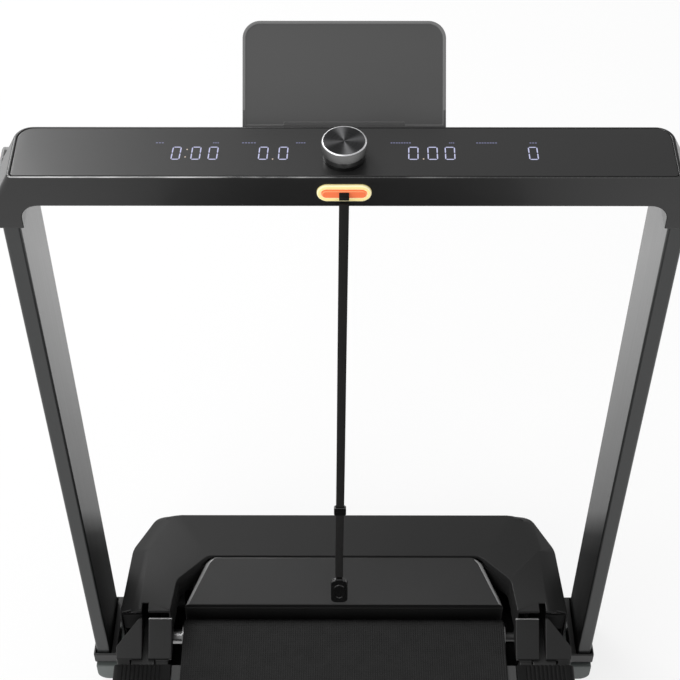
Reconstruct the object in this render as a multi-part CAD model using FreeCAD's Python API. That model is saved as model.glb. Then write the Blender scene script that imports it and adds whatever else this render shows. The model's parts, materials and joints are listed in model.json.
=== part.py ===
import FreeCAD, Part
import math
import os

# Folding walking pad: a belt deck that folds in half, a motor hood at its front end,
# and a handrail with a console bar that folds back over the deck.
# Millimetres. X to the user's right, Y from the user towards the motor hood, Z up from the floor.

Vec = FreeCAD.Vector

# Overall layout
overall_length = 1432.0
deck_top = 125.0
fold_y = -120.0
running_gap = 0.3
bearing_clearance = 0.05
cut_over = 1.0
front_end = overall_length / 2
rear_end = -overall_length / 2

# Running belt and deck boards
belt_width = 440.0
belt_thickness = 2.5
board_thickness = 15.0
board_margin = 12.0
board_end_gap = 4.0
belt_half = belt_width / 2
board_half = belt_half + board_margin
board_top = deck_top - belt_thickness

# Rollers
roller_radius = 20.2
roller_overhang = 2.0
roller_wall = 3.0
shaft_radius = 6.0
bearing_width = 12.0
front_roller_setback = 167.0
rear_roller_setback = 36.0
belt_inner_radius = roller_radius + running_gap
belt_outer_radius = belt_inner_radius + belt_thickness
roller_z = deck_top - belt_outer_radius
front_roller_y = front_end - front_roller_setback
rear_roller_y = rear_end + rear_roller_setback
roller_half = belt_half + roller_overhang

# Steel frame under the deck
member_inset = 24.0
member_width = 32.0
member_height = 60.0
member_wall = 3.0
member_setback = 66.0
member_clearance = 4.0
cross_width = 40.0
cross_wall = 2.5
cross_clearance = 3.0
cross_front_fold_gap = 60.0
cross_front_roller_gap = 109.0
cross_rear_fold_gap = 80.0
cross_rear_roller_gap = 120.0
rail_skin = 3.0
member_top = deck_top - rail_skin
member_bottom = member_top - member_height
member_in = board_half + member_inset
member_out = member_in + member_width
member_middle = (member_in + member_out) / 2
member_front = front_end - member_setback
shaft_end = member_in + member_wall
cross_top = board_top - board_thickness
cross_bottom = roller_z - belt_inner_radius + cross_clearance
cross_front_first = fold_y + cross_front_fold_gap
cross_front_last = front_roller_y - cross_front_roller_gap
front_cross_places = (cross_front_first, (cross_front_first + cross_front_last) / 2, cross_front_last)
rear_cross_places = (fold_y - cross_rear_fold_gap, rear_roller_y + cross_rear_roller_gap)

# Ribbed foot rails beside the belt
rail_gap = 1.5
rail_width = 77.5
rail_bottom = 34.0
rail_inner_drop = 16.0
rail_corner = 7.0
rail_setback = 224.0
rib_count = 10
rib_pitch = 5.6
groove_width = 2.4
groove_depth = 1.0
rail_in = board_half + rail_gap
rail_out = rail_in + rail_width
rail_front = front_end - rail_setback

# Fold hinges across the middle of the deck
fold_rise = 10.0
fold_gap = 4.0
hinge_barrel = 9.5
hinge_pin = 4.0
hinge_leaf = 4.0
hinge_leaf_length = 44.0
hinge_knuckle_gap = 0.5
hinge_edge = 6.0
hinge_bridge_gap = 2.0
fold_z = deck_top + fold_rise
fold_front = fold_y + fold_gap / 2
fold_rear = fold_y - fold_gap / 2
hinge_x = rail_in + hinge_edge
hinge_knuckle = (rail_width - 2 * hinge_edge - 2 * hinge_knuckle_gap) / 3

# Motor hood, a U-shaped moulding round the front end of the belt
hood_rise = 45.0
hood_shoulder_drop = 12.0
hood_bottom = 42.0
hood_leg_gap = 2.0
hood_wall = 3.0
hood_front_setback = 5.0
hood_corner_setback = 61.0
hood_rear_setback = 170.0
hood_side_step = 6.5
hood_side_taper = 9.0
hood_corner_cut = 38.0
hood_corner_radius = 24.0
hood_leg_radius = 3.0
mouth_setback = 80.0
mouth_side_setback = 119.0
mouth_board_gap = 2.0
mouth_side_taper = 6.0
mouth_corner_cut = 40.0
mouth_radius = 16.0
mouth_leg_radius = 1.0
mouth_wall_gap = 0.5
bevel_front = 5.0
bevel_side = 25.0
bevel_rear = 2.5
bevel_mouth = 1.5
slot_edge = 39.5
slot_width = 8.5
slot_depth = 15.0
leg_mouth_rise = 40.0
hood_top = deck_top + hood_rise
hood_shoulder = hood_top - hood_shoulder_drop
hood_leg_bottom = member_bottom + hood_leg_gap
hood_rear = front_end - hood_rear_setback
hood_front = front_end - hood_front_setback
hood_rear_half = rail_out - hood_side_step
hood_corner_half = hood_rear_half - hood_side_taper
hood_front_half = hood_corner_half - hood_corner_cut
mouth_rear_half = board_half + mouth_board_gap
mouth_side_half = mouth_rear_half - mouth_side_taper
mouth_half = mouth_side_half - mouth_corner_cut
mouth_edge = front_end - mouth_setback
slot_inner = hood_rear_half - slot_edge
slot_outer = slot_inner + slot_width
leg_mouth_top = deck_top + leg_mouth_rise

# Sloped panel that leads the belt under the hood
panel_wall = 3.0
panel_gap_under = 1.5
panel_setback = 139.0
panel_rise = 15.0
panel_step = 2.0
panel_side_drop = 9.0
panel_lip = 46.0
panel_top_margin = 8.0
panel_lower_margin = 15.0
panel_rounding = 9.0
panel_lower = front_end - panel_setback
panel_lower_z = deck_top + panel_rise
panel_top_z = hood_top - panel_step
panel_top_half = mouth_half - panel_top_margin
panel_lower_half = mouth_side_half - panel_lower_margin
panel_slope = (panel_top_z - panel_lower_z) / (mouth_edge - panel_lower)

# Sloped end blocks behind the hood legs
block_length = 46.0
block_drop = 11.0
block_rear_rise = 1.0
block_cover_cut = 1.7
block_cover_side = 13.0
block_edge = 2.0
block_wall = 3.0
block_lap = 1.0
tongue_reach = 6.0
tongue_drop = 10.0
tongue_gap = 1.0
skirt_gap = 2.0
block_rear = hood_rear - block_length
block_top = hood_top - block_drop
block_rear_top = deck_top + block_rear_rise

# Handrail uprights, boots and feet
upright_setback = 170.0
upright_thickness = 18.6
upright_depth = 96.0
upright_wall = 2.0
upright_rounding = 3.0
boot_gap = 7.0
boot_inner_wall = 7.8
boot_outer_wall = 2.6
boot_end_wall = 4.0
boot_pocket_gap = 1.5
boot_bottom = 38.5
boot_near_height = 27.5
boot_far_height = 13.5
boot_rounding = 3.0
boot_floor = 8.0
pivot_inset = 6.0
pivot_height = 10.0
pivot_radius = 5.0
pivot_bore_wall = 0.8
pivot_end_gap = 0.5
ear_width = 11.0
ear_gap = 1.0
ear_radius = 13.0
foot_pad = 4.0
foot_pad_margin = 6.0
foot_overhang = 3.0
foot_length = 108.0
foot_corner = 15.0
foot_inner_step = 4.0
foot_side_step = 1.0
arm_setback = 171.0
arm_length = 52.0
arm_rise = 16.0
arm_inset = 4.0
upright_near = front_end - upright_setback
upright_far = upright_near + upright_depth
boot_in = rail_out + boot_gap
upright_in = boot_in + boot_inner_wall + boot_pocket_gap
upright_out = upright_in + upright_thickness
boot_out = upright_out + boot_pocket_gap + boot_outer_wall
boot_near = upright_near - boot_end_wall
boot_far = upright_far + boot_end_wall
upright_bottom = boot_bottom + boot_floor
pivot_y = upright_near + pivot_inset
pivot_z = boot_bottom + pivot_height
pivot_bore_end = upright_in - boot_pocket_gap - pivot_bore_wall
ear_out = boot_in - ear_gap
ear_in = ear_out - ear_width
foot_in = ear_out - foot_inner_step
foot_out = boot_out - foot_side_step
foot_near = boot_near - foot_overhang
foot_far = foot_near + foot_length

# Console bar with its two legs
bar_bottom = 928.0
bar_height = 39.0
bar_depth = 75.0
bar_front_wall = 3.0
bar_near_corner = 6.0
bar_far_corner = 18.0
bar_end_slope = 26.0
bar_end_drop = 49.0
bar_end_bend = 7.0
leg_drop = 31.0
leg_inner_wall = 4.3
leg_outer_wall = 11.1
leg_corner = 18.0
leg_back_wall = 3.0
leg_back_drop = 32.0
socket_depth = 16.0
trough_end = 11.0
trough_wall = 7.0
trough_floor = 8.0
bar_top = bar_bottom + bar_height
bar_front = upright_near - bar_front_wall
bar_back = bar_front + bar_depth
bar_half = upright_out + leg_outer_wall
bar_top_half = bar_half - bar_end_slope
bar_shoulder = bar_top - bar_end_drop
leg_bottom = bar_bottom - leg_drop
leg_in = upright_in - leg_inner_wall
leg_back = upright_far + leg_back_wall
leg_back_top = bar_top - leg_back_drop
trough_half = leg_in - trough_end

# Console panel, display board and speed knob
console_end = 3.5
console_inset = 2.0
console_thickness = 2.5
console_corner = 16.0
console_near_corner = 3.0
console_gap = 0.4
display_half = 220.0
display_thickness = 1.6
display_depth = 40.0
display_drop = 4.0
display_post = 3.0
display_post_end = 8.0
display_post_edge = 6.0
encoder_size = 14.0
encoder_height = 9.0
encoder_floor = 2.0
knob_setback = 29.0
knob_radius = 22.5
knob_height = 18.0
knob_chamfer = 1.5
knob_wall = 3.0
knob_skirt_gap = 0.6
knob_boss_wall = 3.0
knob_boss_gap = 1.0
knob_bore_roof = 0.5
knob_float = 1.8
knob_travel = 0.8
bezel_radius = 21.0
bezel_height = 6.0
spindle_radius = 3.0
spindle_hole = 4.0
spindle_end_gap = 1.0
spindle_floor_gap = 0.4
console_half = bar_top_half - console_end
console_base = bar_top - console_thickness
display_top = console_base - display_drop
display_bottom = display_top - display_thickness
encoder_bottom = display_bottom - encoder_height
knob_y = bar_front + knob_setback
knob_base = bar_top + bezel_height - knob_float
knob_top = knob_base + knob_height

# Safety key and its socket on the front of the bar
key_rise = 18.8
socket_length = 54.0
socket_width = 21.0
socket_proud = 2.0
socket_sunk = 9.0
key_length = 44.0
key_width = 9.0
key_gap = 0.4
key_depth = 9.0
key_proud = 3.5
key_ear_half = 9.0
key_ear_wall = 3.0
key_ear_height = 6.0
key_ear_lap = 1.0
key_pin_radius = 1.2
key_pin_reach = 9.5
key_pin_edge = 3.0
key_z = bar_bottom + key_rise
key_face = bar_front - key_proud
key_pin_y = bar_front - key_pin_reach

# Lanyard: a flat strap with a slider and a clip
strap_length = 670.8
strap_width = 10.0
strap_thickness = 1.4
strap_eye = 1.5
strap_eye_wall = 1.3
strap_drift = 6.0
slider_drop = 531.8
slider_height = 16.0
slider_width = 15.0
slider_thickness = 5.0
slider_slot_gap = 0.5
clip_length = 54.0
clip_width = 22.0
clip_wall = 2.6
clip_gap = 5.0
clip_jaw_gap = 0.6
clip_top_step = 2.0
clip_neck = 8.0
clip_corner = 8.0
clip_pin_drop = 24.0
clip_pin_radius = 1.5
clip_pin_end = 0.6
clip_ear_inner = 2.0
clip_ear_width = 3.0
clip_ear_height = 6.0
clip_ear_reach = 2.2
clip_knuckle_gap = 0.4
clip_knuckle_width = 3.0
clip_knuckle_wall = 0.7
clip_arm_height = 4.8
clip_lap = 0.5
clip_thumb = 13.0
strap_end_z = key_z - strap_length
slider_z = key_z - slider_drop
clip_bottom = strap_end_z - clip_length
clip_pin_z = strap_end_z - clip_pin_drop
clip_knuckle_in = clip_ear_inner + clip_ear_width + clip_knuckle_gap
clip_pin_half = clip_knuckle_in + clip_knuckle_width + clip_pin_end

# Tablet rest behind the bar
rest_lean = 42.0
rest_width = 207.4
rest_length = 109.0
rest_thickness = 5.0
rest_corner = 18.0
rest_rim = 3.0
rest_rim_height = 0.8
rest_lip = 9.0
rest_lip_thickness = 3.0
rest_lip_half = 61.5
rest_lap = 0.5
rest_pin_radius = 3.0
rest_knuckle = 6.0
rest_knuckle_half = 26.0
rest_hinge_gap = 2.0
rest_web_lap = 6.0
rest_web_step = 1.0
rest_ear_width = 8.0
rest_ear_gap = 0.5
rest_pin_reach = 10.6
rest_pin_drop = 22.0
rest_pin_y = bar_back + rest_pin_reach
rest_pin_z = bar_top - rest_pin_drop
rest_ear_in = rest_knuckle_half + rest_ear_gap
rest_ear_out = rest_ear_in + rest_ear_width

# Motor plate, controller, belly tray and mains inlet
plate_thickness = 4.0
plate_z = 40.0
plate_rear_setback = 131.0
plate_front_setback = 36.0
plate_flange = 36.0
plate_flange_wall = 3.0
controller_left = 30.0
controller_length = 150.0
controller_depth = 70.0
controller_setback = 112.0
controller_standoff = 6.0
controller_board = 2.0
controller_post = 4.0
controller_post_inset = 8.0
sink_fins = 8
sink_fin_width = 3.0
sink_height = 34.0
sink_base = 6.0
sink_end_inset = 20.0
sink_side_inset = 14.0
tray_side_gap = 6.0
tray_rear_setback = 180.0
tray_bottom = 18.0
tray_wall = 3.0
tray_floor = 4.0
tray_corner = 26.0
tray_rear_corner = 4.0
inlet_edge = 107.5
inlet_z = 84.0
inlet_width = 62.0
inlet_height = 34.0
inlet_flange = 3.0
inlet_corner = 3.0
inlet_depth = 20.0
inlet_hole_width = 26.0
inlet_hole_height = 18.0
inlet_hole_depth = 15.0
inlet_hole_inset = 7.0
inlet_hole_low_radius = 1.0
inlet_hole_high_radius = 6.0
rocker_width = 14.0
rocker_height = 20.0
rocker_end_gap = 1.5
rocker_side_gap = 0.5
rocker_offset = 19.0
rocker_well = 15.0
rocker_cover = 8.0
rocker_back = 6.0
rocker_pin = 3.0
rocker_low_step = 1.1
rocker_middle_step = 1.0
rocker_high_step = 0.3
rocker_back_radius = 3.0
rocker_edge_radius = 1.0
plate_top = plate_z + plate_thickness
tray_half = member_in - tray_side_gap
inlet_x = hood_front_half - inlet_edge
inlet_face = hood_front + inlet_flange
inlet_hole_x = inlet_x - inlet_width / 2 + inlet_hole_inset + inlet_hole_width / 2
rocker_x = inlet_x + rocker_offset
rocker_y = inlet_face - rocker_cover

# Drive under the hood
motor_setback = 76.0
motor_floor_gap = 1.0
motor_radius = 38.0
motor_length = 137.0
motor_gap = 12.0
motor_shaft = 6.0
motor_shaft_stop = 20.0
motor_shaft_gap = 2.0
motor_fins = 9
motor_fin_width = 3.0
motor_fin_height = 3.0
motor_foot_half = 26.0
motor_foot_inset = 10.0
flywheel_radius = 33.0
flywheel_width = 14.0
flywheel_gap = 2.0
flywheel_neck = 8.0
pulley_width = 12.0
pulley_gap = 4.0
roller_pulley_radius = 30.0
motor_pulley_radius = 12.0
pulley_groove = 1.6
pulley_grooves = 4
drive_belt_thickness = 2.5
drive_belt_inset = 1.0
sleeve_radius = 10.0
motor_y = front_end - motor_setback
motor_z = plate_top + motor_floor_gap + motor_fin_height + motor_radius
pulley_out = member_in - pulley_gap
pulley_in = pulley_out - pulley_width
flywheel_out = -pulley_in + flywheel_gap
flywheel_in = flywheel_out + flywheel_width
motor_out = flywheel_in + motor_gap
motor_in = motor_out + motor_length

# Levelling feet and transport wheels
foot_radius = 22.0
foot_top_radius = 18.0
foot_height = 20.0
foot_stud = 6.0
foot_low_round = 2.0
foot_high_round = 3.0
front_foot_gap = 50.0
rear_foot_gap = 50.0
wheel_setback = 90.0
wheel_radius = 24.0
wheel_width = 20.0
wheel_lift = 2.0
wheel_axle = 5.0
wheel_side_gap = 0.6
wheel_tread = 4.8
wheel_round = 3.0
wheel_hub_wall = 4.0
wheel_dish = 3.0
wheel_dish_slope = 1.0
fork_wall = 3.5
fork_half = 15.0
fork_eye = 9.0
front_foot_y = fold_y + front_foot_gap
rear_foot_y = rear_roller_y + rear_foot_gap
wheel_y = front_end - wheel_setback
wheel_z = wheel_radius + wheel_lift

# Rear end caps and belt tension screws
cap_length = 56.0
cap_roller_gap = 6.0
cap_rise = 4.0
cap_corner = 24.0
cap_inner_corner = 6.0
cap_slope_length = 30.0
cap_slope_drop = 16.0
cap_slope_radius = 6.0
screw_radius = 4.0
screw_head = 7.5
screw_head_gap = 1.0
screw_recess = 6.0
screw_hex = 3.0
screw_hex_depth = 3.0
cap_front = rear_end + cap_length
cap_in = roller_half + cap_roller_gap
cap_top = deck_top + cap_rise
screw_x = (cap_in + shaft_end) / 2
screw_face = rear_end + screw_head_gap


def block(x, y, z):
    """Box between (low, high) pairs along X, Y and Z."""
    return Part.makeBox(x[1] - x[0], y[1] - y[0], z[1] - z[0], Vec(x[0], y[0], z[0]))


def rod_x(radius, x, y, z):
    """Cylinder along X between the pair x."""
    return Part.makeCylinder(radius, x[1] - x[0], Vec(x[0], y, z), Vec(1, 0, 0))


def rod_y(radius, x, y, z):
    """Cylinder along Y between the pair y."""
    return Part.makeCylinder(radius, y[1] - y[0], Vec(x, y[0], z), Vec(0, 1, 0))


def rod_z(radius, x, y, z):
    """Cylinder along Z between the pair z."""
    return Part.makeCylinder(radius, z[1] - z[0], Vec(x, y, z[0]), Vec(0, 0, 1))


def past(span):
    """A span made longer at both ends, for cutting right through."""
    return (span[0] - cut_over, span[1] + cut_over)


def tidy(shape):
    """A finished boolean with its seams removed, as a single solid where it is one."""
    clean = shape.removeSplitter()
    return clean.Solids[0] if len(clean.Solids) == 1 else clean


def outline(corners):
    """Closed wire in the XY plane through (u, v, radius) corners, each radius a tangent arc."""
    points = [Vec(u, v, 0) for u, v, _ in corners]
    count = len(points)
    bends = []
    for i, (_, _, radius) in enumerate(corners):
        here = points[i]
        back = (points[i - 1] - here).normalize()
        ahead = (points[(i + 1) % count] - here).normalize()
        half = back.getAngle(ahead) / 2
        reach = radius / math.tan(half)
        middle = here + (back + ahead).normalize() * (radius / math.sin(half) - radius)
        bends.append((here + back * reach, middle, here + ahead * reach))
    edges = []
    for i, (first, middle, last) in enumerate(bends):
        if corners[i][2] > 0:
            edges.append(Part.Arc(first, middle, last).toShape())
        following = bends[(i + 1) % count][0]
        if not last.isEqual(following, 1e-6):
            edges.append(Part.makeLine(last, following))
    return Part.Wire(edges)


def sharp(points):
    """Corners with no rounding, from (u, v) points."""
    return [(u, v, 0) for u, v in points]


def rectangle(u, v, radius):
    """Corners of a rectangle between the pairs u and v, all with one radius."""
    return [(u[0], v[0], radius), (u[1], v[0], radius), (u[1], v[1], radius), (u[0], v[1], radius)]


def plan(corners, z):
    """Prism of an outline in X and Y, between the pair z."""
    face = Part.Face(outline(corners))
    face.translate(Vec(0, 0, z[0]))
    return face.extrude(Vec(0, 0, z[1] - z[0]))


def side(corners, x):
    """Prism of an outline in Y and Z, between the pair x."""
    prism = plan(corners, x)
    prism.rotate(Vec(0, 0, 0), Vec(1, 1, 1), 120)
    return prism


def front(corners, y):
    """Prism of an outline in X and Z, between the pair y."""
    prism = plan(corners, (-y[1], -y[0]))
    prism.rotate(Vec(0, 0, 0), Vec(1, 0, 0), 90)
    return prism


def tube_y(x, y, z, wall):
    """Rectangular tube along Y, open at both ends."""
    hollow = block((x[0] + wall, x[1] - wall), y, (z[0] + wall, z[1] - wall))
    return block(x, y, z).cut(hollow)


def tube_x(x, y, z, wall):
    """Rectangular tube along X, open at both ends."""
    hollow = block(x, (y[0] + wall, y[1] - wall), (z[0] + wall, z[1] - wall))
    return block(x, y, z).cut(hollow)


def mirrored(shape):
    """The same piece on the other side of the pad."""
    return shape.mirror(Vec(0, 0, 0), Vec(1, 0, 0))


def pair(shape):
    """A piece and its mirror image."""
    return [shape, mirrored(shape)]


def either_side(x):
    """The pair x on the right of the pad and its mirror image on the left."""
    return (x, (-x[1], -x[0]))


def inset(corners, depths):
    """An anticlockwise outline with each edge moved in by its own depth."""
    least_radius = 0.5
    moved = []
    count = len(corners)
    for i, (u, v, radius) in enumerate(corners):
        before = corners[i - 1]
        after = corners[(i + 1) % count]
        into = Vec(u - before[0], v - before[1], 0).normalize()
        out = Vec(after[0] - u, after[1] - v, 0).normalize()
        first = Vec(-into.y, into.x, 0)
        second = Vec(-out.y, out.x, 0)
        lean = first.dot(second)
        a = depths[i - 1]
        b = depths[i]
        shift = (first * (a - b * lean) + second * (b - a * lean)) * (1 / (1 - lean * lean))
        convex = into.x * out.y - into.y * out.x > 0
        new_radius = radius - min(a, b) if convex else radius + min(a, b)
        moved.append((u + shift.x, v + shift.y, max(new_radius, least_radius)))
    return moved


def levels(wires):
    """Solid with straight walls through outlines at rising heights, from (corners, z) rows."""
    rings = []
    for corners, z in wires:
        ring = outline(corners)
        ring.translate(Vec(0, 0, z))
        rings.append(ring)
    return Part.makeLoft(rings, True, True)


def half_belt(open_y, roller_y):
    """One end of the running belt: both runs and the wrap round the roller."""
    width = (-belt_half, belt_half)
    run = (min(open_y, roller_y), max(open_y, roller_y))
    mouth = (run[0] - cut_over, run[1]) if roller_y > open_y else (run[0], run[1] + cut_over)

    def loop(radius, stretch):
        runs = block(width, stretch, (roller_z - radius, roller_z + radius))
        return runs.fuse(rod_x(radius, width, roller_y, roller_z))

    return tidy(loop(belt_outer_radius, run).cut(loop(belt_inner_radius, mouth)))


def roller_tube(y):
    """Roller tube with a seat at each end for its bearing."""
    width = (-roller_half, roller_half)
    return rod_x(roller_radius, width, y, roller_z).cut(
        rod_x(roller_radius - roller_wall, width, y, roller_z))


def roller_bearings(y):
    """One ring bearing in each end of a roller, running on the shaft."""
    span = (roller_half - bearing_width, roller_half)
    ring = rod_x(roller_radius - roller_wall, span, y, roller_z)
    return pair(ring.cut(rod_x(shaft_radius + bearing_clearance, span, y, roller_z)))


def roller_shaft(y):
    """Fixed steel shaft through a roller."""
    return rod_x(shaft_radius, (-shaft_end, shaft_end), y, roller_z)


def deck_board(y):
    """Board that the belt slides on."""
    return block((-board_half, board_half), y, (cross_top, board_top))


def rail(y):
    """Right-hand foot rail: a ribbed top, a deep outer wall and a short inner wall."""
    rib_start = (rail_in + rail_out - (rib_count - 1) * rib_pitch) / 2
    corners = [(rail_out, rail_bottom, 0), (rail_out, deck_top, rail_corner)]
    for i in reversed(range(rib_count)):
        middle = rib_start + i * rib_pitch
        right = middle + groove_width / 2
        left = middle - groove_width / 2
        corners += sharp([(right, deck_top), (right, deck_top - groove_depth)])
        corners += sharp([(left, deck_top - groove_depth), (left, deck_top)])
    corners += sharp([
        (rail_in, deck_top),
        (rail_in, deck_top - rail_inner_drop),
        (rail_in + rail_skin, deck_top - rail_inner_drop),
        (rail_in + rail_skin, member_top),
        (rail_out - rail_skin, member_top),
        (rail_out - rail_skin, rail_bottom),
    ])
    return front(corners, y)


def frame_members(y):
    """The two long steel tubes of one half of the deck."""
    return pair(tube_y((member_in, member_out), y, (member_bottom, member_top), member_wall))


def front_members():
    """Front frame members with holes for the front roller's shaft."""
    hole = roller_shaft(front_roller_y)
    return [tidy(member.cut(hole)) for member in frame_members((fold_front, member_front))]


def cross_members(places):
    """Steel tubes across the deck, passing through the belt loop under the board."""
    tubes = []
    for y in places:
        span = (y - cross_width / 2, y + cross_width / 2)
        tubes.append(tube_x((-member_in, member_in), span, (cross_bottom, cross_top), cross_wall))
    return tubes


def levelling_feet(y):
    """Rubber-padded screw feet under the frame members."""
    profile = [
        (0, 0, 0), (foot_radius, 0, foot_low_round), (foot_top_radius, foot_height, foot_high_round),
        (foot_stud, foot_height, 0), (foot_stud, member_bottom, 0), (0, member_bottom, 0),
    ]
    face = Part.Face(outline(profile))
    face.rotate(Vec(0, 0, 0), Vec(1, 0, 0), 90)
    foot = face.revolve(Vec(0, 0, 0), Vec(0, 0, 1), 360)
    foot.translate(Vec(member_middle, y, 0))
    return pair(foot)


def hinge_leaves(toward, knuckles):
    """Hinge leaves of one half of the deck: toward is +1 for the front half, -1 for the rear."""
    edge = fold_y + toward * fold_gap / 2
    far = fold_y + toward * hinge_leaf_length
    clear = fold_y + toward * (hinge_barrel + hinge_bridge_gap)
    pitch = hinge_knuckle + hinge_knuckle_gap
    leaf = (deck_top, deck_top + hinge_leaf)
    pieces = []
    for place in knuckles:
        x = (hinge_x + place * pitch, hinge_x + place * pitch + hinge_knuckle)
        arm = block(x, sorted((fold_y, far)), leaf)
        under = block(x, sorted((fold_y, edge)), (deck_top, deck_top + running_gap))
        pieces += [rod_x(hinge_barrel, x, fold_y, fold_z), arm.cut(under)]
    span = (hinge_x + min(knuckles) * pitch, hinge_x + max(knuckles) * pitch + hinge_knuckle)
    bridge = block(span, sorted((clear, far)), leaf)
    bore = hinge_pin if toward > 0 else hinge_pin + bearing_clearance
    return pair(tidy(bridge.fuse(pieces).cut(rod_x(bore, past(span), fold_y, fold_z))))


def hinge_pins():
    """One pin through each fold hinge."""
    span = 3 * hinge_knuckle + 2 * hinge_knuckle_gap
    return pair(rod_x(hinge_pin, (hinge_x, hinge_x + span), fold_y, fold_z))


def hood_corners():
    """Plan of the hood: its front, its sides and the mouth that the belt runs into."""
    right = [
        (mouth_half, mouth_edge, mouth_radius),
        (mouth_side_half, front_end - mouth_side_setback, mouth_radius),
        (mouth_rear_half, hood_rear, mouth_leg_radius),
        (hood_rear_half, hood_rear, hood_leg_radius),
        (hood_corner_half, front_end - hood_corner_setback, hood_corner_radius),
        (hood_front_half, hood_front, hood_corner_radius),
    ]
    left = [(-u, v, radius) for u, v, radius in reversed(right)]
    return right + left


def hood_depths(mouth, rear, flank, nose):
    """Depth of each hood edge in the order of hood_corners."""
    half = [mouth, mouth, rear, flank, flank]
    return half + [nose] + list(reversed(half)) + [mouth]


def motor_hood():
    """U-shaped cover: upright walls, a bevelled outer band and a flat top, open underneath."""
    around = hood_corners()
    crease = inset(around, hood_depths(bevel_mouth, bevel_rear, bevel_side, bevel_front))
    inner = inset(around, [hood_wall] * len(around))
    inner_crease = inset(crease, [hood_wall / 2] * len(crease))
    below = hood_bottom - cut_over
    rear = hood_rear - cut_over
    skin = levels([(around, hood_bottom), (around, hood_shoulder), (crease, hood_top)])
    hollow = levels([
        (inner, below), (inner, hood_shoulder - hood_wall), (inner_crease, hood_top - hood_wall),
    ])
    hood = skin.cut(hollow)
    # below the sloped panel the mouth has no wall of its own
    far = hood_wall + cut_over
    drop = panel_wall + panel_gap_under
    sill = member_top + member_clearance
    under_panel = sharp([
        (rear, below), (mouth_edge + far, below), (mouth_edge + far, panel_top_z - drop + panel_slope * far),
        (panel_lower, panel_lower_z - drop), (panel_lower - hood_wall, sill), (rear, sill),
    ])
    reach = mouth_rear_half + hood_wall + mouth_wall_gap
    hood = hood.cut(side(under_panel, (-reach, reach)))
    # each leg is open to its end block, clears the frame member and has a slot in its end
    for x in either_side((mouth_rear_half + hood_wall, hood_rear_half - hood_wall)):
        hood = hood.cut(block(x, (rear, hood_rear + bevel_rear + far), (below, leg_mouth_top)))
    for x in either_side((member_in - member_clearance, hood_rear_half + cut_over)):
        hood = hood.cut(block(x, (rear, member_front + member_clearance), (below, hood_leg_bottom)))
    slot_z = (member_top + cut_over, hood_top + cut_over)
    for x in either_side((slot_inner, slot_outer)):
        hood = hood.cut(block(x, (rear, hood_rear + slot_depth), slot_z))
    inlet_x_span, inlet_z_span = inlet_body_spans()
    inlet = block(inlet_x_span, past((hood_front - hood_wall, hood_front)), inlet_z_span)
    return tidy(hood.cut(inlet))


def panel_wedge(shrink, bottom):
    """Wedge under the slope of the entry panel, smaller by shrink on its sides, rear and slope."""
    lower = panel_lower + shrink
    rise = shrink * math.hypot(1, panel_slope)
    section = side(sharp([
        (lower, bottom), (mouth_edge, bottom), (mouth_edge, panel_top_z - rise),
        (lower, panel_lower_z + panel_slope * shrink - rise),
    ]), (-panel_lower_half, panel_lower_half))
    taper = plan(sharp([
        (-panel_lower_half + shrink, panel_lower), (panel_lower_half - shrink, panel_lower),
        (panel_top_half - shrink, mouth_edge), (-panel_top_half + shrink, mouth_edge),
    ]), (bottom, hood_top))
    return section.common(taper)


def belt_entry_panel():
    """Sloped panel between the hood's mouth and the belt, with rounded sides and a lip."""
    side_z = panel_lower_z - panel_side_drop
    wedge = panel_wedge(0, side_z)
    rounded = []
    for edge in wedge.Edges:
        middle = edge.CenterOfMass
        if middle.z > panel_lower_z + cut_over and middle.y < mouth_edge - cut_over:
            rounded.append(edge)
    skin = wedge.makeFillet(panel_rounding, rounded)
    shell = skin.cut(panel_wedge(panel_wall, side_z - cut_over))
    lip = block(
        (-panel_lower_half, panel_lower_half), (panel_lower, panel_lower + panel_wall),
        (panel_lower_z - panel_lip, side_z))
    return tidy(shell.fuse(lip))


def block_slope(x):
    """Wedge behind a hood leg, sloping down to the rails, between the pair x."""
    return side([
        (block_rear, member_top, 0), (hood_rear, member_top, 0),
        (hood_rear, block_top, block_edge), (block_rear, block_rear_top, block_edge),
    ], x)


def rail_end_block():
    """Square hollow wedge beside the belt, open to the hood leg, with a tongue under the rail."""
    x = (mouth_rear_half - block_lap, slot_inner)
    hollow = block_slope((x[0] + block_wall, x[1] - block_wall))
    hollow.translate(Vec(0, block_wall, -block_wall))
    tongue = block(
        (rail_in + rail_skin + tongue_gap, member_in - tongue_gap),
        (rail_front - tongue_reach, block_rear + block_wall), (member_top - tongue_drop, member_top))
    return tidy(block_slope(x).cut(hollow).fuse(tongue))


def hinge_cover():
    """Wedge outside the slot, its front outer corner cut away for the handrail."""
    outer = rail_out - rail_skin
    wedge = block_slope((slot_outer, outer))
    skirt = block((member_out + skirt_gap, outer), (block_rear, hood_rear), (hood_leg_bottom, member_top))
    corner = plan(sharp([
        (slot_outer + block_cover_cut, hood_rear + cut_over), (outer + cut_over, hood_rear + cut_over),
        (outer + cut_over, block_rear + block_cover_side),
    ]), past((hood_leg_bottom, block_top)))
    return tidy(wedge.fuse(skirt).cut(corner))


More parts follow.
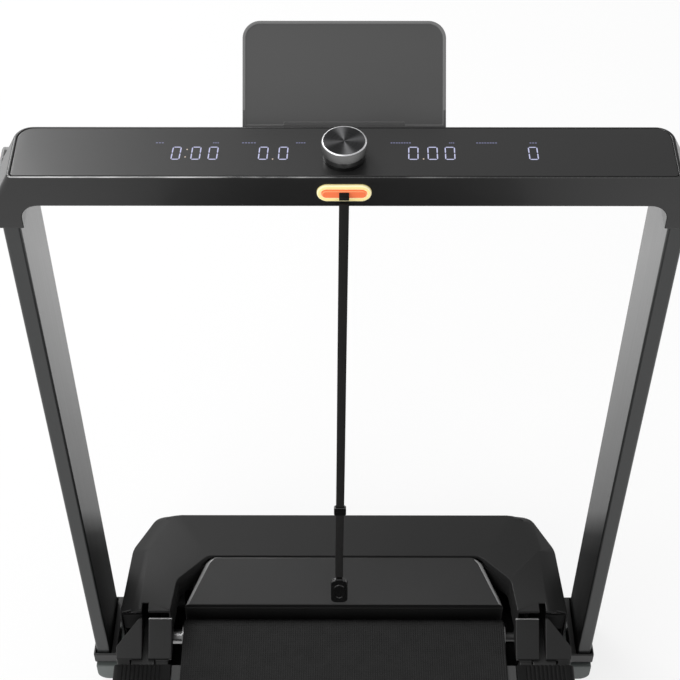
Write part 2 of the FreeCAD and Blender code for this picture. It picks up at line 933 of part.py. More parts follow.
def foot_bracket():
    """Cast foot under an upright, with an arm to the frame and an ear for the pivot pin."""
    foot = front([
        (foot_in, foot_pad, 0), (foot_out, foot_pad, foot_corner), (foot_out, boot_bottom, 0),
        (foot_in, boot_bottom, 0),
    ], (foot_near, foot_far))
    arm_y = (front_end - arm_setback, front_end - arm_setback + arm_length)
    arm_low = foot_pad + arm_rise
    arm = block((member_in + arm_inset, foot_in + cut_over), arm_y, (arm_low, member_bottom))
    web = block((ear_in, ear_out), (pivot_y - ear_radius, arm_y[1]), (arm_low, pivot_z))
    ear = rod_x(ear_radius, (ear_in, ear_out), pivot_y, pivot_z)
    bore = rod_x(pivot_radius, past((ear_in, ear_out)), pivot_y, pivot_z)
    return tidy(foot.fuse([arm, web, ear]).cut(bore))


def foot_pad_rubber():
    """Flat rubber pad under a handrail foot."""
    return block(
        (boot_in + foot_side_step, foot_out - foot_corner),
        (foot_near + foot_pad_margin, foot_far - foot_pad_margin), (0, foot_pad))


def boot():
    """Socket at the foot of an upright, with a rounded heel that turns on the pivot pin."""
    body = side([
        (boot_near, boot_bottom, pivot_height), (boot_far, boot_bottom, 0),
        (boot_far, boot_bottom + boot_far_height, boot_rounding),
        (boot_near, boot_bottom + boot_near_height, boot_rounding),
    ], (boot_in, boot_out))
    gap = boot_pocket_gap
    pocket = block(
        (upright_in - gap, upright_out + gap), (upright_near - gap, upright_far + gap),
        (upright_bottom, boot_bottom + boot_near_height + cut_over))
    bore = rod_x(
        pivot_radius + bearing_clearance, (boot_in - cut_over, pivot_bore_end), pivot_y, pivot_z)
    return tidy(body.cut(pocket).cut(bore))


def pivot_pins():
    """One pin from each handrail foot into the boot."""
    return pair(rod_x(pivot_radius, (ear_in, pivot_bore_end - pivot_end_gap), pivot_y, pivot_z))


def upright():
    """Flat hollow post of the handrail."""
    span = (upright_bottom, leg_bottom + socket_depth)
    w = upright_wall
    outer = rectangle((upright_in, upright_out), (upright_near, upright_far), upright_rounding)
    inner = rectangle(
        (upright_in + w, upright_out - w), (upright_near + w, upright_far - w), upright_rounding - w / 2)
    return plan(outer, span).cut(plan(inner, span))


def bar_end():
    """Half width of the console bar and height, from the leg's foot to the top."""
    lean = math.atan2(bar_end_slope, bar_end_drop)
    bend = (bar_half - bar_end_bend * math.sin(lean), bar_shoulder + bar_end_bend * math.cos(lean))
    return [(bar_half, leg_bottom), (bar_half, bar_shoulder - bar_end_bend), bend, (bar_top_half, bar_top)]


def bar_outline(half):
    """Plan of the console bar at a half width, its far corners rounder than its near ones."""
    return [
        (-half, bar_front, bar_near_corner), (half, bar_front, bar_near_corner),
        (half, bar_back, bar_far_corner), (-half, bar_back, bar_far_corner),
    ]


def handlebar_shell():
    """One moulding: the console bar, its sloped ends, and a leg over the top of each upright."""
    body = levels([(bar_outline(half), z) for half, z in bar_end()])
    arch = front([
        (-leg_in, leg_bottom - leg_corner, 0), (leg_in, leg_bottom - leg_corner, 0),
        (leg_in, bar_bottom, leg_corner), (-leg_in, bar_bottom, leg_corner),
    ], past((bar_front, bar_back)))
    shell = body.cut(arch)
    # behind the bar each leg reaches back over the whole depth of its upright
    back_start = bar_back - bar_far_corner
    leg = front(sharp(bar_end() + [(leg_in, bar_top), (leg_in, leg_bottom)]), (back_start, leg_back))
    slope = side(sharp([
        (back_start, leg_bottom), (leg_back, leg_bottom),
        (leg_back, leg_bottom + socket_depth + leg_back_wall),
        (bar_back, leg_back_top), (back_start, leg_back_top),
    ]), (leg_in, bar_half))
    leg = leg.common(slope)
    shell = shell.fuse([leg, mirrored(leg)] + rest_ears())
    socket = block(
        (upright_in, upright_out), (upright_near, upright_far),
        (leg_bottom - cut_over, leg_bottom + socket_depth))
    recess = plan(console_outline(0), (console_base, bar_top + cut_over))
    trough = block(
        (-trough_half, trough_half), (bar_front + trough_wall, bar_back - trough_wall),
        (bar_bottom + trough_floor, console_base + cut_over))
    pocket = socket_slot(socket_length, socket_width, (bar_front - cut_over, bar_front + socket_sunk))
    return tidy(shell.cut([socket, mirrored(socket), recess, trough, pocket]))


def console_outline(gap):
    """Plan of the console panel, smaller all round by gap."""
    half = console_half - gap
    near = bar_front + console_inset + gap
    far = bar_back - console_inset - gap
    return [
        (-half, near, console_near_corner), (half, near, console_near_corner),
        (half, far, console_corner), (-half, far, console_corner),
    ]


def console_panel():
    """Gloss panel let into the top of the bar, with a hole for the knob's spindle."""
    span = (console_base, bar_top)
    return plan(console_outline(console_gap), span).cut(rod_z(spindle_hole, 0, knob_y, past(span)))


def display_board():
    """Circuit board under the panel and, as a second piece, the body of the speed encoder."""
    middle = (bar_front + bar_back) / 2
    y = (middle - display_depth / 2, middle + display_depth / 2)
    board = block((-display_half, display_half), y, (display_bottom, display_top))
    end = display_half - display_post_end
    posts = []
    for x in (-end, -display_half / 3, display_half / 3, end):
        posts.append(rod_z(
            display_post, x, y[1] - display_post_edge, (bar_bottom + trough_floor, display_bottom)))
    board = tidy(board.fuse(posts).cut(rod_z(spindle_hole, 0, knob_y, (bar_bottom, bar_top))))
    h = encoder_size / 2
    encoder = block((-h, h), (knob_y - h, knob_y + h), (encoder_bottom, display_bottom))
    bore = rod_z(
        spindle_radius + bearing_clearance, 0, knob_y, (encoder_bottom + encoder_floor, bar_top))
    return [board, encoder.cut(bore)]


def knob_spindle():
    """Push-and-turn spindle of the encoder, up into the knob."""
    low = encoder_bottom + encoder_floor + knob_travel + spindle_floor_gap
    return rod_z(spindle_radius, 0, knob_y, (low, knob_top - knob_wall - spindle_end_gap))


def speed_knob():
    """Turned metal cap over the bezel, with a boss on the spindle."""
    cap = rod_z(knob_radius, 0, knob_y, (knob_base, knob_top))
    rim = [e for e in cap.Edges if abs(e.CenterOfMass.z - knob_top) < 0.01]
    cap = cap.makeChamfer(knob_chamfer, rim)
    roof = knob_top - knob_wall
    hollow = rod_z(bezel_radius + knob_skirt_gap, 0, knob_y, (knob_base - cut_over, roof))
    boss = rod_z(
        spindle_radius + knob_boss_wall, 0, knob_y, (knob_base + knob_float + knob_boss_gap, roof))
    bore = rod_z(
        spindle_radius + bearing_clearance, 0, knob_y, (knob_base - cut_over, roof - knob_bore_roof))
    return tidy(cap.cut(hollow).fuse(boss).cut(bore))


def knob_bezel():
    """Black ring on the panel that the knob stands over."""
    span = (bar_top, bar_top + bezel_height)
    return rod_z(bezel_radius, 0, knob_y, span).cut(rod_z(spindle_hole, 0, knob_y, past(span)))


def socket_slot(length, width, y):
    """Round-ended bar across the front of the console, between the pair y."""
    x = (-length / 2, length / 2)
    return front(rectangle(x, (key_z - width / 2, key_z + width / 2), width / 2), y)


def key_socket():
    """Pale frame of the safety key, sunk in the front of the bar."""
    face = bar_front - socket_proud
    frame = socket_slot(socket_length, socket_width, (face, bar_front + socket_sunk))
    opening = socket_slot(
        key_length + 2 * key_gap, key_width + 2 * key_gap, (face - cut_over, key_face + key_depth))
    return frame.cut(opening)


def safety_key():
    """Magnet key in the socket, with two ears and a pin for the lanyard."""
    plug = socket_slot(key_length, key_width, (key_face, key_face + key_depth))
    ear = block(
        (key_ear_half - key_ear_wall, key_ear_half), (key_pin_y - key_pin_edge, key_face + key_ear_lap),
        (key_z - key_ear_height / 2, key_z + key_ear_height / 2))
    pin = rod_x(key_pin_radius, (-key_ear_half, key_ear_half), key_pin_y, key_z)
    return tidy(plug.fuse([ear, mirrored(ear), pin]))


def strap_middle(z):
    """X of the strap's middle at a height."""
    return -strap_drift * (key_z - z) / strap_length


def lanyard_strap():
    """Flat strap hanging from the key's pin to the clip."""
    half = strap_width / 2
    eye = rod_x(strap_eye + strap_eye_wall, (-half, half), key_pin_y, key_z)
    tail = front(sharp([
        (-strap_drift - half, strap_end_z), (-strap_drift + half, strap_end_z),
        (half, key_z - strap_eye), (-half, key_z - strap_eye),
    ]), (key_pin_y - strap_thickness / 2, key_pin_y + strap_thickness / 2))
    hole = rod_x(strap_eye, past((-half, half)), key_pin_y, key_z)
    return tidy(eye.fuse(tail).cut(hole))


def lanyard_slider():
    """Bead that slides along the strap."""
    x = strap_middle(slider_z + slider_height / 2)
    half = slider_width / 2
    r = slider_thickness / 2
    z = (slider_z, slider_z + slider_height)
    bead = front(rectangle((x - half, x + half), z, r), (key_pin_y - r, key_pin_y + r))
    gap = strap_thickness / 2 + running_gap
    reach = strap_width / 2 + slider_slot_gap
    slot = block((x - reach, x + reach), (key_pin_y - gap, key_pin_y + gap), past(z))
    return bead.cut(slot)


def clip_leaf(y, high):
    """Rounded leaf of the clip between the pair y, up to a height."""
    x = (-strap_drift - clip_width / 2, -strap_drift + clip_width / 2)
    return front(rectangle(x, (clip_bottom, high), clip_corner), y)


def clip_sides(inner, width):
    """The two X spans of a pair of lugs on either side of the clip's middle."""
    return [
        (-strap_drift - inner - width, -strap_drift - inner),
        (-strap_drift + inner, -strap_drift + inner + width),
    ]


def clip_pin(radius):
    """Hinge pin of the clip, or its bore."""
    return rod_x(radius, (-strap_drift - clip_pin_half, -strap_drift + clip_pin_half), key_pin_y, clip_pin_z)


def lanyard_clip():
    """Fixed jaw of the clip: its neck on the strap, two ears and the hinge pin."""
    y = (key_pin_y - clip_gap / 2 - clip_wall, key_pin_y - clip_gap / 2)
    neck = block(
        (-strap_drift - strap_width / 2, -strap_drift + strap_width / 2),
        (y[0], key_pin_y + strap_thickness / 2), (strap_end_z - clip_neck, strap_end_z))
    z = (clip_pin_z - clip_ear_height / 2, clip_pin_z + clip_ear_height / 2)
    ears = []
    for x in clip_sides(clip_ear_inner, clip_ear_width):
        ears.append(block(x, (y[1] - clip_lap, key_pin_y + clip_ear_reach), z))
    leaf = clip_leaf(y, strap_end_z - clip_top_step)
    return tidy(leaf.fuse([neck] + ears + [clip_pin(clip_pin_radius)]))


def clip_jaw():
    """Sprung jaw of the clip, on the pin, with a thumb end above it."""
    face = key_pin_y + clip_gap / 2 + clip_jaw_gap
    leaf = clip_leaf((face, face + clip_wall), clip_pin_z + clip_thumb)
    z = (clip_pin_z - clip_arm_height / 2, clip_pin_z + clip_arm_height / 2)
    knuckles = []
    for x in clip_sides(clip_knuckle_in, clip_knuckle_width):
        knuckles.append(rod_x(clip_pin_radius + clip_knuckle_wall, x, key_pin_y, clip_pin_z))
        knuckles.append(block(x, (key_pin_y, face + clip_lap), z))
    return tidy(leaf.fuse(knuckles).cut(clip_pin(clip_pin_radius + bearing_clearance)))


def rest_ears():
    """Ears behind the bar for the tablet rest's pin."""
    ears = []
    for x in either_side((rest_ear_in, rest_ear_out)):
        arm = block(
            x, (bar_back - cut_over, rest_pin_y), (rest_pin_z - rest_knuckle, rest_pin_z + rest_knuckle))
        ear = arm.fuse(rod_x(rest_knuckle, x, rest_pin_y, rest_pin_z))
        ears.append(ear.cut(rod_x(rest_pin_radius, x, rest_pin_y, rest_pin_z)))
    return ears


def tablet_rest():
    """Leaning plate with a raised rim, a ledge and a hinge knuckle, turned to its lean."""
    half = rest_width / 2
    low = rest_knuckle + rest_hinge_gap
    high = low + rest_length
    base = plan(rectangle((-half, half), (low, high), rest_corner), (0, rest_thickness))
    inside = half - rest_rim
    floor = rest_thickness - rest_rim_height
    well = plan(
        rectangle((-inside, inside), (low + rest_rim, high - rest_rim), rest_corner - rest_rim),
        (floor, rest_thickness + cut_over))
    lip = block(
        (-rest_lip_half, rest_lip_half), (low + rest_rim, low + rest_rim + rest_lip_thickness),
        (floor - rest_lap, rest_thickness + rest_lip))
    span = (-rest_knuckle_half, rest_knuckle_half)
    knuckle = rod_x(rest_knuckle, span, 0, 0)
    web = block(span, (0, low + rest_web_lap), (0, rest_thickness - rest_web_step))
    plate = base.cut(well).fuse([lip, knuckle, web])
    plate = tidy(plate.cut(rod_x(rest_pin_radius + bearing_clearance, past(span), 0, 0)))
    plate.rotate(Vec(0, 0, 0), Vec(1, 0, 0), rest_lean)
    plate.translate(Vec(0, rest_pin_y, rest_pin_z))
    return plate


def tablet_pin():
    """Pin of the tablet rest, fixed in the two ears."""
    return rod_x(rest_pin_radius, (-rest_ear_out, rest_ear_out), rest_pin_y, rest_pin_z)


def grooved_pulley(radius, x, y, z):
    """Ribbed belt pulley between the pair x."""
    wheel = rod_x(radius, x, y, z)
    pitch = (x[1] - x[0]) / (pulley_grooves + 1)
    for i in range(pulley_grooves):
        middle = x[0] + pitch * (i + 1)
        span = (middle - pitch / 4, middle + pitch / 4)
        groove = rod_x(radius + cut_over, span, y, z).cut(rod_x(radius - pulley_groove, span, y, z))
        wheel = wheel.cut(groove)
    return wheel


def roller_pulley():
    """Pulley on the left end of the front roller, with its sleeve on the shaft."""
    wheel = grooved_pulley(roller_pulley_radius, (-pulley_out, -pulley_in), front_roller_y, roller_z)
    sleeve = rod_x(sleeve_radius, (-pulley_in, -roller_half), front_roller_y, roller_z)
    bore = rod_x(
        shaft_radius + bearing_clearance, past((-pulley_out, -roller_half)), front_roller_y, roller_z)
    return tidy(wheel.fuse(sleeve).cut(bore))


def drive_belt():
    """Flat ribbed belt round the roller's pulley and the motor's."""
    x = (-pulley_out + drive_belt_inset, -pulley_in - drive_belt_inset)
    reach = math.hypot(motor_y - front_roller_y, motor_z - roller_z)
    heading = math.atan2(motor_z - roller_z, motor_y - front_roller_y)
    spread = math.acos((roller_pulley_radius - motor_pulley_radius) / reach)
    upper = heading + spread
    lower = heading - spread

    def on_roller(radius, angle):
        return Vec(front_roller_y + radius * math.cos(angle), roller_z + radius * math.sin(angle), 0)

    def on_motor(radius, angle):
        return Vec(motor_y + radius * math.cos(angle), motor_z + radius * math.sin(angle), 0)

    def loop(extra):
        big = roller_pulley_radius + running_gap + extra
        small = motor_pulley_radius + running_gap + extra
        motor_arc = Part.Arc(on_motor(small, upper), on_motor(small, heading), on_motor(small, lower))
        roller_arc = Part.Arc(
            on_roller(big, lower), on_roller(big, heading + math.pi), on_roller(big, upper))
        edges = [
            Part.makeLine(on_roller(big, upper), on_motor(small, upper)), motor_arc.toShape(),
            Part.makeLine(on_motor(small, lower), on_roller(big, lower)), roller_arc.toShape(),
        ]
        prism = Part.Face(Part.Wire(edges)).extrude(Vec(0, 0, x[1] - x[0]))
        prism.translate(Vec(0, 0, x[0]))
        prism.rotate(Vec(0, 0, 0), Vec(1, 1, 1), 120)
        return prism

    return loop(drive_belt_thickness).cut(loop(0))


def drive_motor():
    """Motor can with cooling fins and a foot on the motor plate."""
    can = rod_x(motor_radius, (motor_out, motor_in), motor_y, motor_z)
    step = motor_length / (motor_fins + 1)
    fins = []
    for i in range(motor_fins):
        middle = motor_out + step * (i + 1)
        span = (middle - motor_fin_width / 2, middle + motor_fin_width / 2)
        fins.append(rod_x(motor_radius + motor_fin_height, span, motor_y, motor_z))
    foot = block(
        (motor_out + motor_foot_inset, motor_in - motor_foot_inset),
        (motor_y - motor_foot_half, motor_y + motor_foot_half), (plate_top, motor_z - motor_radius / 2))
    bore = rod_x(
        motor_shaft + bearing_clearance, (motor_out - cut_over, motor_in - motor_shaft_stop),
        motor_y, motor_z)
    return tidy(can.fuse(fins + [foot]).cut(bore))


def motor_rotor():
    """Motor shaft with its flywheel and ribbed pulley."""
    shaft_stop = motor_in - motor_shaft_stop - motor_shaft_gap
    shaft = rod_x(motor_shaft, (-pulley_out, shaft_stop), motor_y, motor_z)
    flywheel = rod_x(flywheel_radius, (flywheel_out, flywheel_in), motor_y, motor_z)
    pulley = grooved_pulley(motor_pulley_radius, (-pulley_out, -pulley_in), motor_y, motor_z)
    neck = rod_x(flywheel_neck, (-pulley_in, flywheel_out), motor_y, motor_z)
    return tidy(shaft.fuse([flywheel, pulley, neck]))


def motor_plate():
    """Steel plate between the frame members, its ends turned up against them."""
    y = (front_end - plate_rear_setback, front_end - plate_front_setback)
    flange_y = (y[0], member_front)
    sheet = block((-tray_half, tray_half), y, (plate_z, plate_top))
    reach = block((-member_in, member_in), flange_y, (plate_z, plate_top))
    flange = block((member_in - plate_flange_wall, member_in), flange_y, (plate_z, plate_z + plate_flange))
    return tidy(sheet.fuse([reach, flange, mirrored(flange)]))


def motor_controller():
    """Controller board on stand-offs with a finned heat sink."""
    x = (controller_left, controller_left + controller_length)
    y = (front_end - controller_setback, front_end - controller_setback + controller_depth)
    board_z = plate_top + controller_standoff
    sink_z = board_z + controller_board
    board = block(x, y, (board_z, sink_z))
    posts = []
    for px in (x[0] + controller_post_inset, x[1] - controller_post_inset):
        for py in (y[0] + controller_post_inset, y[1] - controller_post_inset):
            posts.append(rod_z(controller_post, px, py, (plate_top, board_z)))
    sink_x = (x[0] + sink_end_inset, x[1] - sink_end_inset)
    sink_y = (y[0] + sink_side_inset, y[1] - sink_side_inset)
    sink = block(sink_x, sink_y, (sink_z, sink_z + sink_base))
    step = (sink_x[1] - sink_x[0] - sink_fin_width) / (sink_fins - 1)
    fins = []
    for i in range(sink_fins):
        left = sink_x[0] + step * i
        fins.append(block((left, left + sink_fin_width), sink_y, (sink_z, sink_z + sink_height)))
    return tidy(board.fuse(posts + [sink] + fins))


def base_tray():
    """Belly pan under the motor, open at the top."""
    rear = front_end - tray_rear_setback

    def pan(shrink):
        half = tray_half - shrink
        near = rear + shrink
        far = front_end - shrink
        r = tray_corner - shrink
        return [
            (-half, near, tray_rear_corner), (half, near, tray_rear_corner), (half, far, r), (-half, far, r),
        ]

    body = plan(pan(0), (tray_bottom, plate_z))
    return body.cut(plan(pan(tray_wall), (tray_bottom + tray_floor, plate_z + cut_over)))


def inlet_body_spans():
    """X and Z spans of the inlet's body behind its flange, which the hood's opening shares."""
    half = inlet_width / 2 - inlet_flange
    rise = inlet_height / 2 - inlet_flange
    return (inlet_x - half, inlet_x + half), (inlet_z - rise, inlet_z + rise)


def power_inlet():
    """Mains inlet and switch frame in the front wall of the hood."""
    x = (inlet_x - inlet_width / 2, inlet_x + inlet_width / 2)
    z = (inlet_z - inlet_height / 2, inlet_z + inlet_height / 2)
    flange = front(rectangle(x, z, inlet_corner), (hood_front, inlet_face))
    body_x, body_z = inlet_body_spans()
    body = block(body_x, (hood_front - inlet_depth, hood_front), body_z)
    h = inlet_hole_width / 2
    v = inlet_hole_height / 2
    low = inlet_hole_low_radius
    high = inlet_hole_high_radius
    hole = front([
        (inlet_hole_x - h, inlet_z - v, low), (inlet_hole_x + h, inlet_z - v, low),
        (inlet_hole_x + h, inlet_z + v, high), (inlet_hole_x - h, inlet_z + v, high),
    ], (inlet_face - inlet_hole_depth, inlet_face + cut_over))
    well_half = rocker_width / 2 + rocker_side_gap
    well_rise = rocker_height / 2 + rocker_end_gap
    well_x = (rocker_x - well_half, rocker_x + well_half)
    well = block(
        well_x, (inlet_face - rocker_well, inlet_face + cut_over), (inlet_z - well_rise, inlet_z + well_rise))
    pin = rod_x(rocker_pin, well_x, rocker_y, inlet_z)
    return tidy(flange.fuse(body).cut([hole, well]).fuse(pin))


def power_rocker():
    """Rocker of the mains switch, pressed to its off side, on a cross pin."""
    low = inlet_z - rocker_height / 2
    high = inlet_z + rocker_height / 2
    r = rocker_edge_radius
    profile = [
        (rocker_y - rocker_back, inlet_z, rocker_back_radius), (rocker_y, low, r),
        (inlet_face - rocker_low_step, low, r), (inlet_face - rocker_middle_step, inlet_z, 0),
        (inlet_face + rocker_high_step, high, r), (rocker_y, high, r),
    ]
    x = (rocker_x - rocker_width / 2, rocker_x + rocker_width / 2)
    bore = rod_x(rocker_pin + bearing_clearance, past(x), rocker_y, inlet_z)
    return tidy(side(profile, x).cut(bore))


def transport_wheel():
    """Solid wheel with a rounded tread and dished sides."""
    half = wheel_width / 2
    bore = wheel_axle + bearing_clearance
    hub = wheel_axle + wheel_hub_wall
    rim = wheel_radius - wheel_tread
    dish = half - wheel_dish
    upper = [
        (wheel_radius, half, wheel_round), (rim, half, 0), (rim - wheel_dish_slope, dish, 0),
        (hub + wheel_dish_slope, dish, 0), (hub, half, 0), (bore, half, 0),
    ]
    lower = [(u, -v, radius) for u, v, radius in reversed(upper)]
    wheel = Part.Face(outline(lower + upper)).revolve(Vec(0, 0, 0), Vec(0, 1, 0), 360)
    wheel.rotate(Vec(0, 0, 0), Vec(0, 0, 1), 90)
    wheel.translate(Vec(member_middle, wheel_y, wheel_z))
    return wheel


def wheel_fork():
    """Bracket under the frame member that carries a transport wheel on its axle."""
    inner = wheel_width / 2 + wheel_side_gap
    outer = inner + fork_wall
    top = member_bottom
    bridge = block(
        (member_middle - outer, member_middle + outer), (wheel_y - fork_half, wheel_y + fork_half),
        (top - fork_wall, top))
    eye_y = (wheel_y - fork_eye, wheel_y + fork_eye)
    eye_low = wheel_z - fork_eye
    cheek = [
        (eye_y[0], eye_low, fork_eye), (eye_y[1], eye_low, fork_eye), (eye_y[1], wheel_z, 0),
        (wheel_y + fork_half, top, 0), (wheel_y - fork_half, top, 0), (eye_y[0], wheel_z, 0),
    ]
    axle = rod_x(wheel_axle, (member_middle - inner, member_middle + inner), wheel_y, wheel_z)
    left = side(cheek, (member_middle - outer, member_middle - inner))
    right = side(cheek, (member_middle + inner, member_middle + outer))
    return tidy(bridge.fuse([left, right, axle]))


def rear_end_cap():
    """Right rear corner cap: holds the roller shaft's end and the tension screw."""
    footprint = plan([
        (cap_in, rear_end, cap_inner_corner), (rail_out, rear_end, cap_corner), (rail_out, cap_front, 0),
        (cap_in, cap_front, 0),
    ], (rail_bottom, cap_top))
    profile = side([
        (rear_end, rail_bottom, 0), (cap_front, rail_bottom, 0), (cap_front, cap_top, 0),
        (rear_end + cap_slope_length, cap_top, cap_slope_radius),
        (rear_end, cap_top - cap_slope_drop, cap_slope_radius),
    ], (cap_in, rail_out))
    body = footprint.common(profile)
    shaft = rod_x(shaft_radius, (cap_in - cut_over, shaft_end), rear_roller_y, roller_z)
    screw = rod_y(screw_radius, screw_x, (rear_end - cut_over, rear_roller_y), roller_z)
    head = rod_y(
        screw_head + screw_head_gap, screw_x, (rear_end - cut_over, rear_end + screw_recess), roller_z)
    return tidy(body.cut([shaft, screw, head]))


def tension_screw():
    """Socket screw that pulls the rear shaft's end towards the rear."""
    shank = rod_y(screw_radius, screw_x, (screw_face, rear_roller_y - shaft_radius), roller_z)
    head = rod_y(screw_head, screw_x, (screw_face, rear_end + screw_recess), roller_z)
    points = []
    for k in range(7):
        turn = k * math.pi / 3
        across = screw_hex * math.cos(turn)
        points.append(Vec(screw_x + across, screw_face, roller_z + screw_hex * math.sin(turn)))
    hexagon = Part.Face(Part.makePolygon(points)).extrude(Vec(0, screw_hex_depth, 0))
    return tidy(shank.fuse(head).cut(hexagon))


def save(node, *solids):
    """Write one node, with its separate solids together."""
    shape = solids[0] if len(solids) == 1 else Part.makeCompound(list(solids))
    shape.exportStep(os.path.join("parts", node + ".step"))


def main():
    os.makedirs("parts", exist_ok=True)
    rear_board_end = rear_roller_y + roller_radius + board_end_gap

    # front half of the deck
    save("front_side_members", *front_members())
    save("front_cross_members", *cross_members(front_cross_places))
    save("front_deck_board", deck_board((fold_front, rail_front)))
    right_rail = rail((fold_front, rail_front))
    save("side_rail_front_right", right_rail)
    save("side_rail_front_left", mirrored(right_rail))
    save("running_belt_front", half_belt(fold_front, front_roller_y))
    save("front_roller_shaft", roller_shaft(front_roller_y))
    save("front_roller_tube", roller_tube(front_roller_y))
    save("front_roller_bearings", *roller_bearings(front_roller_y))
    save("roller_pulley", roller_pulley())
    save("fold_hinge_leaves_front", *hinge_leaves(1, (0, 2)))
    save("fold_hinge_pins", *hinge_pins())

    # hood and drive
    save("motor_hood", motor_hood())
    save("belt_entry_panel", belt_entry_panel())
    save("rail_end_blocks", *pair(rail_end_block()))
    save("hinge_covers", *pair(hinge_cover()))
    save("base_tray", base_tray())
    save("motor_plate", motor_plate())
    save("drive_motor", drive_motor())
    save("motor_rotor", motor_rotor())
    save("drive_belt", drive_belt())
    save("motor_controller", motor_controller())
    save("power_inlet", power_inlet())
    save("power_rocker", power_rocker())

    # what the pad stands and rolls on
    save("foot_brackets", *pair(foot_bracket()))
    save("front_feet", *levelling_feet(front_foot_y), *pair(foot_pad_rubber()))
    save("wheel_forks", *pair(wheel_fork()))
    wheel = transport_wheel()
    save("transport_wheel_right", wheel)
    save("transport_wheel_left", mirrored(wheel))

    # rear half of the deck
    rear_span = (cap_front, fold_rear)
    save("rear_side_members", *frame_members(rear_span))
    save("rear_cross_members", *cross_members(rear_cross_places))
    save("rear_deck_board", deck_board((rear_board_end, fold_rear)))
    rear_rail = rail(rear_span)
    save("side_rail_rear_right", rear_rail)
    save("side_rail_rear_left", mirrored(rear_rail))
    save("running_belt_rear", half_belt(fold_rear, rear_roller_y))
    save("rear_roller_shaft", roller_shaft(rear_roller_y))
    save("rear_roller_tube", roller_tube(rear_roller_y))
    save("rear_roller_bearings", *roller_bearings(rear_roller_y))
    save("rear_end_caps", *pair(rear_end_cap()))
    save("tension_screws", *pair(tension_screw()))
    save("rear_feet", *levelling_feet(rear_foot_y))
    save("fold_hinge_leaves_rear", *hinge_leaves(-1, (1,)))

    # handrail
    post = upright()
    save("upright_right", post)
    save("upright_left", mirrored(post))
    save("boots", *pair(boot()))
    save("handrail_pivot_pins", *pivot_pins())
    save("handlebar_shell", handlebar_shell())
    save("console_panel", console_panel())
    save("display_board", *display_board())
    save("knob_bezel", knob_bezel())
    save("knob_spindle", knob_spindle())
    save("speed_knob", speed_knob())
    save("key_socket", key_socket())
    save("safety_key", safety_key())
    save("lanyard_strap", lanyard_strap())
    save("lanyard_slider", lanyard_slider())
    save("lanyard_clip", lanyard_clip())
    save("clip_jaw", clip_jaw())
    save("tablet_rest", tablet_rest())
    save("tablet_rest_pin", tablet_pin())


main()
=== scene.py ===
"""Looks of the walking pad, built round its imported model."""
import json
import math

import bmesh
import bpy
from mathutils import Matrix, Vector
from mathutils.bvhtree import BVHTree
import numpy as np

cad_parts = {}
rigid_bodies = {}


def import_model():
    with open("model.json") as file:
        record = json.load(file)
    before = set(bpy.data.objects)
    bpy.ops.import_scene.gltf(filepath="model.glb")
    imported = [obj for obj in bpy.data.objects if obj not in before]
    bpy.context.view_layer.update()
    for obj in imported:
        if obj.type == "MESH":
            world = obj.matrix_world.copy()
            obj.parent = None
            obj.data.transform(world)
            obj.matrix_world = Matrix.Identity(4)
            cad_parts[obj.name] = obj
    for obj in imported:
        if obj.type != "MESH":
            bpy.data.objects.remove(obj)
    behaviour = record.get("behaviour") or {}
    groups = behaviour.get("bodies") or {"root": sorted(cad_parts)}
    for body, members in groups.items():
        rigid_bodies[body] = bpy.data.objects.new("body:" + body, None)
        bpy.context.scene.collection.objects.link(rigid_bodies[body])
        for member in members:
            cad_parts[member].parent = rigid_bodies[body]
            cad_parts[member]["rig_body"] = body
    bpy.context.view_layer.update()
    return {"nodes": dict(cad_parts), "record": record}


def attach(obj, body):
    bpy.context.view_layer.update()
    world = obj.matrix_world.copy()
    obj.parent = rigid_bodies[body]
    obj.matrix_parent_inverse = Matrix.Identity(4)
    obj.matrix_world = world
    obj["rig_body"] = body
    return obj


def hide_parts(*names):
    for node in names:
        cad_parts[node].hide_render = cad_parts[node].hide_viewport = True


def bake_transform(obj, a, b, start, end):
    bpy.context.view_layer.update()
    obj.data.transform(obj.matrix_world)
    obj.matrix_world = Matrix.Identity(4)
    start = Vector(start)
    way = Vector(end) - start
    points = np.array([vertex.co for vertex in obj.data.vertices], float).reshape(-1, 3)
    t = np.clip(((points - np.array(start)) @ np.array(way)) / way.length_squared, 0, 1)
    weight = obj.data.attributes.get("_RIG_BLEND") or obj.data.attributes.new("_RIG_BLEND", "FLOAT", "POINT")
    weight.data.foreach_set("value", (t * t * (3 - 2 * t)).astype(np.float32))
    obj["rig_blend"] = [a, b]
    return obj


for leftover in list(bpy.data.objects):
    bpy.data.objects.remove(leftover)
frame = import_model()
nodes = frame["nodes"]
scene = bpy.context.scene
scene.view_settings.view_transform = "Standard"
MM = 0.001


# Camera of the photograph: high over the user's end, looking down along the deck
def photo_camera():
    """Camera from its place, its pitch, yaw and roll, and its lens."""
    place = Vector((0.0, -0.6086, 2.0258))
    pitch = 0.8451
    yaw = -0.0038
    roll = 0.0019
    ahead = Vector((math.sin(yaw) * math.cos(pitch), math.cos(yaw) * math.cos(pitch), -math.sin(pitch)))
    level = Vector((math.cos(yaw), -math.sin(yaw), 0.0))
    under = ahead.cross(level)
    across = level * math.cos(roll) + under * math.sin(roll)
    down = under * math.cos(roll) - level * math.sin(roll)
    data = bpy.data.cameras.new("photo_camera")
    data.sensor_width = 36.0
    data.lens = 84.4
    data.clip_end = 40.0
    camera = bpy.data.objects.new("photo_camera", data)
    scene.collection.objects.link(camera)
    turn = Matrix((across, -down, -ahead)).transposed().to_4x4()
    camera.matrix_world = Matrix.Translation(place) @ turn
    scene.camera = camera


